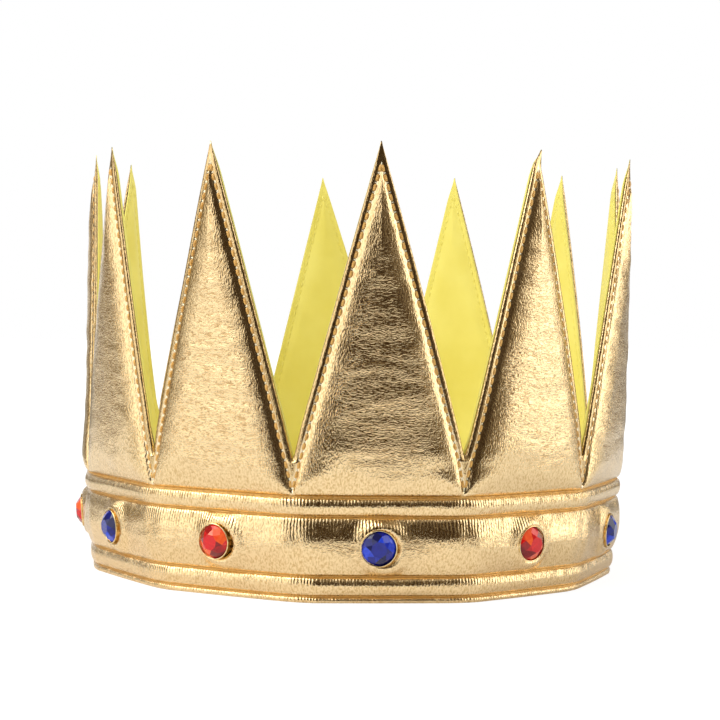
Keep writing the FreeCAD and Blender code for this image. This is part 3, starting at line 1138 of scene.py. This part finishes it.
class Shader(Nodes):
    """The nodes of one finish."""

    def __init__(self, name: str) -> None:
        """Start a node material with one principled surface.

        Args:
            name: Name of the material.
        """
        self.material = bpy.data.materials.new(name)
        self.material.use_nodes = True
        super().__init__(self.material.node_tree)
        self.surface = self.tree.nodes["Principled BSDF"]

    def set(self, **values: object) -> None:
        """Set the surface's own sockets by name, with underscores for spaces."""
        for name, value in values.items():
            self.surface.inputs[name.replace("_", " ")].default_value = value

    def attribute(self, name: str) -> bpy.types.NodeSocket:
        """A stored mesh value."""
        return self.node("ShaderNodeAttribute", attribute_name=name).outputs["Fac"]

    def noise(self, scale: tuple[float, float, float], detail: float = 2.0, distortion: float = 0.0,
              roughness: float = 0.5) -> bpy.types.NodeSocket:
        """Noise in the object's own space.

        Args:
            scale: Swells a metre along each axis.
            detail: Finer swells added.
            distortion: How far the swells are warped.
            roughness: Strength of the finer swells.

        Returns:
            The noise, about 0 to 1.
        """
        place = self.node("ShaderNodeTexCoord").outputs["Object"]
        mapping = self.node("ShaderNodeMapping")
        mapping.inputs["Scale"].default_value = scale
        self.join(place, mapping.inputs["Vector"])
        made = self.node("ShaderNodeTexNoise")
        made.inputs["Scale"].default_value = 1.0
        made.inputs["Detail"].default_value = detail
        made.inputs["Roughness"].default_value = roughness
        made.inputs["Distortion"].default_value = distortion
        self.join(mapping.outputs[0], made.inputs["Vector"])
        return made.outputs["Fac"]

    def bump(self, height: bpy.types.NodeSocket, distance: float, strength: float = 1.0,
             under: bpy.types.NodeSocket | None = None) -> bpy.types.NodeSocket:
        """Add a bump.

        Args:
            height: What gives its height.
            distance: Height in metres of a full step.
            strength: Share of the bump that is used.
            under: Normal of a bump below it.

        Returns:
            The bent normal.
        """
        made = self.node("ShaderNodeBump")
        made.inputs["Distance"].default_value = distance
        made.inputs["Strength"].default_value = strength
        self.join(height, made.inputs["Height"])
        if under is not None:
            self.join(under, made.inputs["Normal"])
        return made.outputs["Normal"]


@dataclass(frozen=True)
class GoldLeatherette:
    """Grained metallic leatherette: short upright hatching and wavy level creases, with painted shade in
    their hollows and on the lips outside the edge stitches, a painted highlight beside the edge
    stitches, and darker orange-brown along the band seams.
    """

    bright: tuple[float, float, float] = (0.95, 0.725, 0.405)
    # Painted shade: the next two colours are laid in the hollows of the hatching and of the creases.
    deep_shade: tuple[float, float, float] = (0.70, 0.47, 0.21)
    crease_shade: tuple[float, float, float] = (0.62, 0.41, 0.19)
    # Darker orange-brown laid along the band seams.
    seam: tuple[float, float, float] = (0.72, 0.42, 0.11)
    # Painted highlight: the pale cream band on each side of the edge stitches.
    edge: tuple[float, float, float] = (0.98, 0.88, 0.62)
    puckers: int = 660
    hatch_scale: tuple[float, float, float] = (2500.0, 2500.0, 1050.0)
    wave_scale: tuple[float, float, float] = (560.0, 560.0, 1450.0)
    fold_scale: tuple[float, float, float] = (50.0, 50.0, 150.0)
    patch_scale: tuple[float, float, float] = (48.0, 48.0, 60.0)
    grain_scale: tuple[float, float, float] = (3400.0, 3400.0, 3400.0)
    sway_scale: tuple[float, float, float] = (260.0, 260.0, 160.0)
    # Painted shade: the darker brown laid on the lip outside the edge stitches.
    margin_shade: tuple[float, float, float] = (0.50, 0.34, 0.13)
    wrinkle_depth: float = 0.42 * MM
    wrinkle_strength: float = 0.34
    fold_depth: float = 1.5 * MM
    fold_strength: float = 0.6
    inside_reach: float = 16.0
    seam_reach: float = 30.0
    dullness: float = 0.14
    uneven_dullness: float = 0.08
    seam_dullness: float = 0.2

    def material(self) -> bpy.types.Material:
        """Build the finish.

        Returns:
            A node material.
        """
        shader = Shader("gold_leatherette")
        hatch = shader.noise(self.hatch_scale, detail=1.0, distortion=0.5, roughness=0.4)
        waves = shader.noise(self.wave_scale, detail=2.0, distortion=1.4, roughness=0.5)
        folds = shader.noise(self.fold_scale, detail=1.0, distortion=0.5)
        patches = shader.noise(self.patch_scale, detail=1.0)
        grain = shader.noise(self.grain_scale, detail=1.0)
        edge = shader.attribute("edge_stitch")
        inside = shader.math("MULTIPLY", edge, 1 / self.inside_reach, clamp=True)
        seam = shader.attribute("band_seam")
        away = shader.math("MULTIPLY", seam, 1 / self.seam_reach, clamp=True)
        middle = shader.math("MULTIPLY", inside, away)
        leaning = shader.math("ADD", shader.math("MULTIPLY", middle, 1.5),
                              shader.math("SUBTRACT", patches, 0.62))
        level = shader.math("MULTIPLY", leaning, 2.2, clamp=True)
        height = shader.node("ShaderNodeMix", data_type="FLOAT")
        for place, source in ((0, level), (2, hatch), (3, waves)):
            shader.join(source, height.inputs[place])
        creased = shader.math("ADD", height.outputs[0], shader.math("MULTIPLY", grain, 0.2))
        depth = shader.math("ADD", shader.math("MULTIPLY", level, 1.4), 0.9)
        creased = shader.math("MULTIPLY", creased, depth)
        creased = shader.math("ADD", creased, self._puckering(shader, patches))
        aside = shader.math("ABSOLUTE", edge)
        smoothed = shader.math("ADD", shader.math("MULTIPLY", aside, 0.45), 0.2, clamp=True)
        rolling = shader.math("MULTIPLY", shader.math("SUBTRACT", folds, 0.5), level)
        low = shader.bump(rolling, self.fold_depth, self.fold_strength)
        fine = shader.math("MULTIPLY", creased, smoothed)
        normal = shader.bump(fine, self.wrinkle_depth, self.wrinkle_strength, under=low)
        shader.join(normal, shader.surface.inputs["Normal"])
        # Painted shade: the colour follows the same height as the bump, darker in its hollows, darker
        # still where the panel is creased.
        plain = shader.ramp(height.outputs[0], [(0.32, self.deep_shade), (0.56, self.bright)])
        crease_shaded = shader.ramp(height.outputs[0], [(0.33, self.crease_shade), (0.56, self.bright)])
        body = shader.mix(level, plain, crease_shaded)
        off_seam = shader.math("MULTIPLY", seam, 2.1, clamp=True)
        near_seam = shader.math("SUBTRACT", 1.0, off_seam)
        beside = shader.math("MULTIPLY", aside, 1.5, clamp=True)
        outside = shader.math("SUBTRACT", shader.math("MULTIPLY", edge, -2.2), 1.0, clamp=True)
        # Darker orange-brown within half a millimetre of each band seam.
        seam_darkened = shader.mix(near_seam, body, self.seam)
        # Painted shade: the lip outside the edge stitches is mixed up to 40 % towards the margin colour.
        margin_shade = shader.mix(shader.math("MULTIPLY", outside, 0.4), seam_darkened, self.margin_shade)
        # Painted highlight: pale cream on the edge stitch line, fading out 0.67 mm from it.
        stitch_highlighted = shader.mix(shader.math("SUBTRACT", 1.0, beside), margin_shade, self.edge)
        shader.join(stitch_highlighted, shader.surface.inputs["Base Color"])
        uneven = shader.math("MULTIPLY", patches, self.uneven_dullness)
        dull = shader.math("ADD", uneven, self.dullness)
        rough = shader.math("ADD", dull, shader.math("MULTIPLY", near_seam, self.seam_dullness))
        shader.join(rough, shader.surface.inputs["Roughness"])
        shader.set(Metallic=1.0)
        return shader.material

    def _puckering(self, shader: Shader, drift_of: bpy.types.NodeSocket) -> bpy.types.NodeSocket:
        """Upright puckers that hang from each seam of the band.

        Args:
            shader: The finish being built.
            drift_of: Slow noise that sways the puckers.

        Returns:
            Their height.
        """
        parts = shader.node("ShaderNodeSeparateXYZ")
        shader.join(shader.node("ShaderNodeTexCoord").outputs["Object"], parts.inputs[0])
        forward = shader.math("MULTIPLY", parts.outputs["Y"], -1.0)
        turn = shader.math("ARCTAN2", parts.outputs["X"], forward)
        sway = shader.noise(self.sway_scale, detail=1.0)
        swayed = shader.math("MULTIPLY", shader.math("ADD", sway, drift_of), 7.0)
        phase = shader.math("ADD", shader.math("MULTIPLY", turn, float(self.puckers)), swayed)
        fallen = shader.math("MULTIPLY", shader.attribute("below_seam"), 0.15, clamp=True)
        hang = shader.math("SUBTRACT", 1.0, fallen)
        depth = shader.math("MULTIPLY", shader.math("MULTIPLY", hang, sway), 0.9)
        return shader.math("MULTIPLY", shader.math("SINE", phase), depth)


@dataclass(frozen=True)
class YellowLining:
    """Matt yellow backing with a faint fine grain."""

    light: tuple[float, float, float] = (0.88, 0.78, 0.17)
    shade: tuple[float, float, float] = (0.82, 0.71, 0.12)
    grain_depth: float = 0.12 * MM

    def material(self) -> bpy.types.Material:
        """Build the finish.

        Returns:
            A node material.
        """
        shader = Shader("yellow_lining")
        cloud = shader.noise((60.0, 60.0, 60.0), detail=3.0)
        grain = shader.noise((2400.0, 2400.0, 2400.0), detail=2.0)
        body = shader.ramp(cloud, [(0.35, self.shade), (0.65, self.light)])
        shader.join(body, shader.surface.inputs["Base Color"])
        shader.join(shader.bump(grain, self.grain_depth, 0.4), shader.surface.inputs["Normal"])
        shader.set(Roughness=0.55)
        shader.set(Sheen_Weight=0.25, Sheen_Roughness=0.5)
        return shader.material


@dataclass(frozen=True)
class GoldThread:
    """Orange-gold sewing thread, with the ridges of leatherette that cross it, which get a painted
    highlight.
    """

    name: str = "gold_thread"
    light: tuple[float, float, float] = (0.84, 0.48, 0.12)
    shade: tuple[float, float, float] = (0.50, 0.25, 0.05)
    # Painted highlight: the pale cream of the ridges that cross the thread.
    ridge: tuple[float, float, float] = (0.98, 0.88, 0.62)
    twist_depth: float = 0.15 * MM

    def material(self) -> bpy.types.Material:
        """Build the finish.

        Returns:
            A node material.
        """
        shader = Shader(self.name)
        twist = shader.noise((2600.0, 2600.0, 5200.0), detail=2.0, distortion=0.4)
        ridge = shader.attribute("ridge")
        body = shader.ramp(twist, [(0.32, self.shade), (0.62, self.light)])
        # Painted highlight: faces marked as ridges take the pale ridge colour.
        shader.join(shader.mix(ridge, body, self.ridge), shader.surface.inputs["Base Color"])
        shader.join(shader.bump(twist, self.twist_depth, 0.5), shader.surface.inputs["Normal"])
        shader.join(shader.math("MULTIPLY", ridge, 0.3), shader.surface.inputs["Metallic"])
        shader.set(Roughness=0.36)
        return shader.material


@dataclass(frozen=True)
class BobbinThread(GoldThread):
    """The yellow thread on the lining's side."""

    name: str = "bobbin_thread"
    light: tuple[float, float, float] = (0.88, 0.78, 0.18)
    shade: tuple[float, float, float] = (0.80, 0.69, 0.12)


@dataclass(frozen=True)
class Wadding:
    """White polyester wadding."""

    light: tuple[float, float, float] = (0.86, 0.85, 0.80)
    shade: tuple[float, float, float] = (0.60, 0.58, 0.52)
    fluff_depth: float = 0.3 * MM

    def material(self) -> bpy.types.Material:
        """Build the finish.

        Returns:
            A node material.
        """
        shader = Shader("wadding")
        fluff = shader.noise((1800.0, 1800.0, 1800.0), detail=4.0)
        body = shader.ramp(fluff, [(0.35, self.shade), (0.65, self.light)])
        shader.join(body, shader.surface.inputs["Base Color"])
        shader.join(shader.bump(fluff, self.fluff_depth, 0.7), shader.surface.inputs["Normal"])
        shader.set(Roughness=0.95)
        return shader.material


@dataclass(frozen=True)
class GoldMetal:
    """Polished thin gold-coloured metal of the settings and rivets."""

    light: tuple[float, float, float] = (0.95, 0.78, 0.44)
    shade: tuple[float, float, float] = (0.74, 0.52, 0.22)
    wear_depth: float = 0.05 * MM

    def material(self) -> bpy.types.Material:
        """Build the finish.

        Returns:
            A node material.
        """
        shader = Shader("gold_metal")
        wear = shader.noise((900.0, 900.0, 900.0), detail=3.0)
        body = shader.ramp(wear, [(0.3, self.shade), (0.6, self.light)])
        shader.join(body, shader.surface.inputs["Base Color"])
        shader.join(shader.bump(wear, self.wear_depth, 0.3), shader.surface.inputs["Normal"])
        rough = shader.math("ADD", shader.math("MULTIPLY", wear, 0.15), 0.1)
        shader.join(rough, shader.surface.inputs["Roughness"])
        shader.set(Metallic=1.0)
        return shader.material


@dataclass(frozen=True)
class CutPlastic:
    """Clear coloured acrylic: each facet gets its own painted brightness, from painted shade to a
    painted glint, standing in for the light reflected inside the stone.
    """

    name: str
    deep_shade: tuple[float, float, float]
    body: tuple[float, float, float]
    glint: tuple[float, float, float]

    def material(self) -> bpy.types.Material:
        """Build the finish.

        Returns:
            A node material.
        """
        shader = Shader(self.name)
        facet = shader.attribute("facet")
        streak = shader.noise((420.0, 420.0, 420.0), detail=1.0, distortion=1.5)
        mixed = shader.math("ADD", shader.math("MULTIPLY", facet, 0.72),
                            shader.math("MULTIPLY", streak, 0.28))
        # Painted reflection: the facet's stored shade and a streak pick its colour, from painted shade
        # through the body colour to a painted glint.
        colour = shader.ramp(mixed, [(0.22, self.deep_shade), (0.6, self.body), (0.93, self.glint)])
        shader.join(colour, shader.surface.inputs["Base Color"])
        rough = shader.math("ADD", shader.math("MULTIPLY", streak, 0.05), 0.03)
        shader.join(rough, shader.surface.inputs["Roughness"])
        shader.set(IOR=1.46, Coat_Weight=0.25, Coat_Roughness=0.02)
        return shader.material


def in_mm(lengths: Sequence[float]) -> tuple[float, ...]:
    """Lengths in metres from lengths in millimetres."""
    return tuple(length * MM for length in lengths)


@dataclass
class Skins:
    """Cover, padding and lining."""

    plan: Plan
    quilting: Quilting
    cover_edges: tuple[float, ...] = (0.0, 0.3, 0.75, 1.25, 1.7, 2.15, 2.6, 3.2, 4.2, 5.6, 7.4)
    cover_columns: int = 30
    cover_rows: int = 66
    padding_edges: tuple[float, ...] = (0.0, 1.0, 2.4, 5.0)
    padding_columns: int = 8
    padding_rows: int = 24
    padding_foot: float = 0.6 * MM
    padding_inset: float = 1.3 * MM
    lining_edges: tuple[float, ...] = (0.0, 0.5, 1.2, 1.7, 2.2, 3.0, 5.0)
    lining_columns: int = 8
    lining_rows: int = 44
    fine_steps: tuple[float, ...] = (0.28, 0.56, 0.9, 1.4, 2.1)
    fine_gap: float = 0.85 * MM
    coarse_steps: tuple[float, ...] = (0.6,)
    coarse_gap: float = 3.0 * MM
    least_gap: float = 0.2 * MM
    pieces: list[bpy.types.Object] = field(default_factory=list)

    def band_rows(self, fine: bool) -> tuple[float, ...]:
        """Heights of the rows from the hem to the foot of a valley, closer near the seams.

        Args:
            fine: Whether the rows are those of the cover.

        Returns:
            Heights in metres, rising.
        """
        marks = [0.0, *self.quilting.seams(), self.plan.valley]
        near = in_mm(self.fine_steps if fine else self.coarse_steps)
        gap = self.fine_gap if fine else self.coarse_gap
        rows = {self.plan.valley}
        for low, high in zip(marks, marks[1:]):
            rows.add(low)
            for step in near:
                if step < (high - low) * 0.45:
                    rows.update((low + step, high - step))
            inner = max(1, round((high - low) / gap))
            rows.update(low + (high - low) * spot / inner for spot in range(1, inner))
        ordered = sorted(rows)
        kept = [ordered[0]]
        for row in ordered[1:]:
            if row - kept[-1] > self.least_gap or row in marks:
                kept.append(row)
        return tuple(kept)

    def build(self) -> None:
        """Make the three skins."""
        quilting = self.quilting
        coarse = self.band_rows(False)
        raised = tuple(max(row, self.padding_foot) for row in coarse)
        cover = Layer(self.plan, quilting, quilting.front, quilting.front_back, in_mm(self.cover_edges),
                      self.cover_columns, self.band_rows(True), self.cover_rows)
        padding = Layer(self.plan, quilting, quilting.wadding_front, quilting.wadding_back,
                        in_mm(self.padding_edges), self.padding_columns, raised, self.padding_rows,
                        edge_inset=self.padding_inset)
        lining = Layer(self.plan, quilting, quilting.lining_front, quilting.lining_back,
                       in_mm(self.lining_edges), self.lining_columns, coarse, self.lining_rows,
                       fine_side=Side.INSIDE)
        self.pieces = [cover.build("cover_skin"), padding.build("padding_wadding"),
                       lining.build("lining_skin")]

    def dress(self) -> None:
        """Give each skin its finish."""
        cover, padding, lining = self.pieces
        finish_piece(cover, GoldLeatherette().material(), "gold_leatherette", "cover")
        finish_piece(padding, Wadding().material(), "padding", "padding")
        finish_piece(lining, YellowLining().material(), "yellow_lining", "lining")
        for piece in self.pieces:
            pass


@dataclass
class Stitching:
    """Every line of stitches, outside and inside."""

    plan: Plan
    quilting: Quilting
    bobbin_radius: float = 0.3 * MM
    bobbin_heave: tuple[float, ...] = (-0.3, -0.12, -0.02, -0.12, -0.3)
    band_radius: float = 0.27 * MM
    band_heave: tuple[float, ...] = (-0.3, -0.05, 0.05, -0.05, -0.3)
    closing_offset: float = 2.5 * MM
    closing_margin: float = 1.0 * MM
    seam_names: tuple[str, ...] = ("hem_seam", "lower_seam", "upper_seam", "top_seam")
    pieces: list[tuple[bpy.types.Object, Side, str]] = field(default_factory=list)

    def build(self) -> None:
        """Make one piece for each line of stitches."""
        edge = Thread(self.plan, self.quilting)
        bobbin = Thread(self.plan, self.quilting, radius=self.bobbin_radius, heave=self.bobbin_heave)
        band = Thread(self.plan, self.quilting, radius=self.band_radius, heave=self.band_heave)
        outer = edge.mesh("edge_stitches", edge.edge_run(Side.OUTSIDE), ridged=True)
        inner = bobbin.mesh("edge_bobbin_stitches", bobbin.edge_run(Side.INSIDE))
        self.pieces = [(outer, Side.OUTSIDE, "edge_thread"), (inner, Side.INSIDE, "edge_bobbin_thread")]
        for name, height in zip(self.seam_names, self.quilting.seams()):
            for side, word in ((Side.OUTSIDE, "thread"), (Side.INSIDE, "bobbin_thread")):
                piece = band.mesh(f"{name}_{word}_stitches", band.seam_run(height, side))
                self.pieces.append((piece, side, f"{name}_{word}"))
        closing = band.mesh("closing_stitches", self._closing_run(band))
        self.pieces.append((closing, Side.INSIDE, "closing_thread"))

    def _closing_run(self, thread: Thread) -> list:
        """Stitches up the inside at the back, where the strip is closed into a ring.

        Args:
            thread: What the stitches are made of.

        Returns:
            Centre lines and normals.
        """
        across = -1.0 + self.closing_offset / self.plan.half_panel
        foot, head = self.plan.hem_seam + self.closing_margin, self.plan.top_seam - self.closing_margin
        return thread.along_line(self.plan.panels // 2, (across, foot), (across, head), Side.INSIDE)

    def dress(self) -> None:
        """Give the outer lines the gold thread and the inner ones the yellow."""
        finishes = {Side.OUTSIDE: GoldThread().material(), Side.INSIDE: BobbinThread().material()}
        for piece, side, node in self.pieces:
            finish_piece(piece, finishes[side], "gold_thread", node)


@dataclass
class Stones:
    """A stone in its setting on every panel, and the rivet behind it."""

    plan: Plan
    cut: Cut = field(default_factory=Cut)
    setting: Setting = field(default_factory=Setting)
    seat_reach: float = 2.0 * MM
    first_turn: float = 11.0
    next_turn: float = 37.0
    table_shade: float = 0.55
    cups: list[bpy.types.Object] = field(default_factory=list)
    gems: list[bpy.types.Object] = field(default_factory=list)

    def place(self, index: int) -> Matrix:
        """Where a setting stands: its own Z points straight out of the panel.

        Args:
            index: Panel number, counted to the right from the front.

        Returns:
            The setting's place and turn.
        """
        plan = self.plan
        flare = math.radians(plan.band_flare)
        middle = (plan.hem[index] + plan.hem[(index + 1) % plan.panels]) / 2
        out = plan.facing[index]
        reach = plan.gem_height * math.tan(flare) + self.seat_reach
        spot = Vector((*(middle + out * reach), plan.gem_height))
        facing = Vector((out[0] * math.cos(flare), out[1] * math.cos(flare), -math.sin(flare)))
        along = Vector((*plan.along[index], 0.0))
        turned = Matrix((along, facing.cross(along), facing)).transposed().to_4x4()
        return Matrix.Translation(spot) @ turned

    def build(self) -> None:
        """Make each cup and its stone."""
        cup_points, cup_faces = self.setting.shape()
        gem_points, gem_faces = self.cut.shape()
        for index in range(self.plan.panels):
            number = f"{index + 1:02d}"
            place = self.place(index)
            cup = [place @ Vector(spot) for spot in cup_points]
            self.cups.append(new_object(f"setting_cup_{number}", cup, cup_faces))
            turn = Matrix.Rotation(math.radians(self.first_turn + self.next_turn * index), 4, "Z")
            seat = place @ Matrix.Translation((0, 0, self.setting.floor)) @ turn
            gem = [seat @ Vector(spot) for spot in gem_points]
            self.gems.append(new_object(f"cut_stone_{number}", gem, gem_faces, smooth=False))
            self._shade(self.gems[-1], index)

    def _shade(self, gem: bpy.types.Object, index: int) -> None:
        """Store a painted shade on each facet, for the stones' painted reflections, spread by a sine so
        that neighbours differ.

        Args:
            gem: The stone.
            index: Its panel's number.
        """
        facets = range(len(gem.data.polygons))
        values = [0.5 + 0.5 * math.sin(12.9898 * facet + 4.1 * index) for facet in facets]
        values[0] = self.table_shade
        gem.data.attributes.new("facet", "FLOAT", "FACE").data.foreach_set("value", values)

    def dress(self) -> None:
        """Give the metal and the stones their finishes, the kept rivets too."""
        metal = GoldMetal().material()
        # Painted reflections: each stone's facets run from painted shade through its body colour to a
        # painted glint.
        finishes = {
            Stone.BLUE: CutPlastic("blue_gem", deep_shade=(0.001, 0.003, 0.06), body=(0.003, 0.010, 0.27),
                                   glint=(0.02, 0.07, 0.72)).material(),
            Stone.RED: CutPlastic("red_gem", deep_shade=(0.20, 0.001, 0.002), body=(0.72, 0.008, 0.010),
                                  glint=(1.0, 0.16, 0.04)).material(),
        }
        for index, (cup, gem) in enumerate(zip(self.cups, self.gems)):
            number = f"{index + 1:02d}"
            colour = Stone.BLUE if index % 2 == 0 else Stone.RED
            finish_piece(cup, metal, "gold_setting", f"gem_setting_{number}")
            finish_piece(gem, finishes[colour], colour.value, f"gem_{number}")
            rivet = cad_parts[f"rivet_back_{number}"]
            rivet.data.materials.clear()
            rivet.data.materials.append(metal)


@dataclass(frozen=True)
class Lamp:
    """A soft rectangular lamp that points at the crown."""

    name: str
    place: tuple[float, float, float]
    size: tuple[float, float]
    power: float
    aim: tuple[float, float, float] = (0.0, 0.0, 0.06)

    def build(self) -> None:
        """Add the lamp."""
        data = bpy.data.lights.new(self.name, "AREA")
        data.shape = "RECTANGLE"
        data.size, data.size_y = self.size
        data.energy = self.power
        lamp = bpy.data.objects.new(self.name, data)
        bpy.context.collection.objects.link(lamp)
        lamp.location = self.place
        heading = Vector(self.aim) - Vector(self.place)
        lamp.rotation_euler = heading.to_track_quat("-Z", "Y").to_euler()


@dataclass
class Studio:
    """Pale floor, soft lamps and the camera at the photograph's viewpoint."""

    camera_place: tuple[float, float, float] = (-58.17 * MM, -709.68 * MM, 87.23 * MM)
    look_down: float = 1.747
    look_right: float = 4.893
    roll: float = 0.978
    focal_pixels: float = 2189.76
    sensor: float = 36.0
    floor_size: float = 6.0
    floor_front: float = 0.275
    sheet_reach: float = 0.38
    sheet: tuple[float, float, float] = (0.86, 0.86, 0.86)
    ground: tuple[float, float, float] = (0.34, 0.32, 0.28)
    floor_glow: float = 1.18
    glow_share: float = 0.72
    fill: float = 0.62
    studio_stops: tuple[tuple[float, tuple[float, float, float]], ...] = (
        (0.0, (0.045, 0.028, 0.012)), (0.07, (0.058, 0.039, 0.020)), (0.22, (0.30, 0.255, 0.195)),
        (0.74, (0.26, 0.225, 0.165)), (0.88, (0.24, 0.20, 0.14)), (0.97, (1.0, 1.0, 1.0)))
    lamps: tuple[Lamp, ...] = (
        Lamp("left_lamp", (-1.0, -0.45, 0.60), (1.6, 1.35), 7.9),
        Lamp("right_lamp", (1.12, -0.05, 0.45), (1.0, 1.05), 6.2),
        Lamp("high_lamp", (-0.75, -0.20, 0.95), (0.9, 0.7), 5.8))

    def build(self) -> None:
        """Add the camera, the floor, the lamps and the world."""
        self._camera()
        self._floor()
        for lamp in self.lamps:
            lamp.build()
        self._world()

    def _camera(self) -> None:
        """The camera of the fitted view."""
        data = bpy.data.cameras.new("camera")
        data.sensor_width = self.sensor
        data.lens = self.focal_pixels * self.sensor / FRAME_PIXELS
        data.clip_start = 0.01
        data.clip_end = 50.0
        camera = bpy.data.objects.new("camera", data)
        bpy.context.collection.objects.link(camera)
        camera.location = self.camera_place
        pointed = Euler((math.radians(90.0 - self.look_down), 0.0, -math.radians(self.look_right)))
        rolled = pointed.to_matrix() @ Matrix.Rotation(math.radians(self.roll), 3, "Z")
        camera.rotation_euler = rolled.to_euler()
        bpy.context.scene.camera = camera

    def _floor(self) -> None:
        """A wide white floor that keeps a soft shadow."""
        half, near = self.floor_size / 2, -self.floor_front
        corners = [(-half, near, 0), (half, near, 0), (half, half, 0), (-half, half, 0)]
        floor = new_object("floor", corners, [[0, 1, 2, 3]])
        shader = Shader("floor_white")
        shader.set(Roughness=0.9, Specular_IOR_Level=0.0)
        away = shader.node("ShaderNodeVectorMath", operation="LENGTH")
        shader.join(shader.node("ShaderNodeTexCoord").outputs["Object"], away.inputs[0])
        past = shader.math("SUBTRACT", away.outputs["Value"], self.sheet_reach)
        beyond = shader.math("MULTIPLY", past, 4.0, clamp=True)
        shader.join(shader.mix(beyond, self.sheet, self.ground), shader.surface.inputs["Base Color"])
        glow = shader.node("ShaderNodeEmission")
        glow.inputs["Strength"].default_value = self.floor_glow
        rays = shader.node("ShaderNodeLightPath")
        rest = shader.math("MULTIPLY", beyond, 1.0 - self.glow_share)
        whiteness = shader.math("ADD", rest, self.glow_share)
        seen = shader.math("MULTIPLY", rays.outputs["Is Camera Ray"], whiteness)
        blend = shader.node("ShaderNodeMixShader")
        shader.join(seen, blend.inputs[0])
        shader.join(shader.surface.outputs[0], blend.inputs[1])
        shader.join(glow.outputs[0], blend.inputs[2])
        output = next(node for node in shader.tree.nodes if node.type == "OUTPUT_MATERIAL")
        shader.join(blend.outputs[0], output.inputs["Surface"])
        floor.data.materials.append(shader.material)

    def _world(self) -> None:
        """Dim in front of the crown and pale behind it in reflections, white to the camera."""
        world = bpy.data.worlds.new("studio")
        world.use_nodes = True
        bpy.context.scene.world = world
        nodes = Nodes(world.node_tree)
        parts = nodes.node("ShaderNodeSeparateXYZ")
        nodes.join(nodes.node("ShaderNodeTexCoord").outputs["Generated"], parts.inputs[0])
        behind = nodes.math("ADD", nodes.math("MULTIPLY", parts.outputs["Y"], 0.5), 0.5)
        room = nodes.ramp(behind, self.studio_stops)
        rays = nodes.node("ShaderNodeLightPath")
        lit = nodes.mix(rays.outputs["Is Glossy Ray"], (self.fill, self.fill, self.fill), room)
        straight = nodes.math("ADD", rays.outputs["Is Camera Ray"], rays.outputs["Is Transmission Ray"])
        seen = nodes.mix(straight, lit, (1.0, 1.0, 1.0))
        background = world.node_tree.nodes["Background"]
        nodes.join(seen, background.inputs["Color"])
        background.inputs["Strength"].default_value = 1.0


def main() -> None:
    """Build the studio and the crown."""
    logging.basicConfig(level=logging.INFO, format="%(name)s: %(message)s")
    bpy.context.scene.view_settings.view_transform = "Standard"
    Studio().build()
    plan = Plan()
    quilting = Quilting(plan)
    for assembly in (Skins(plan, quilting), Stitching(plan, quilting), Stones(plan)):
        assembly.build()
        assembly.dress()


if __name__ == "__main__":
    main()
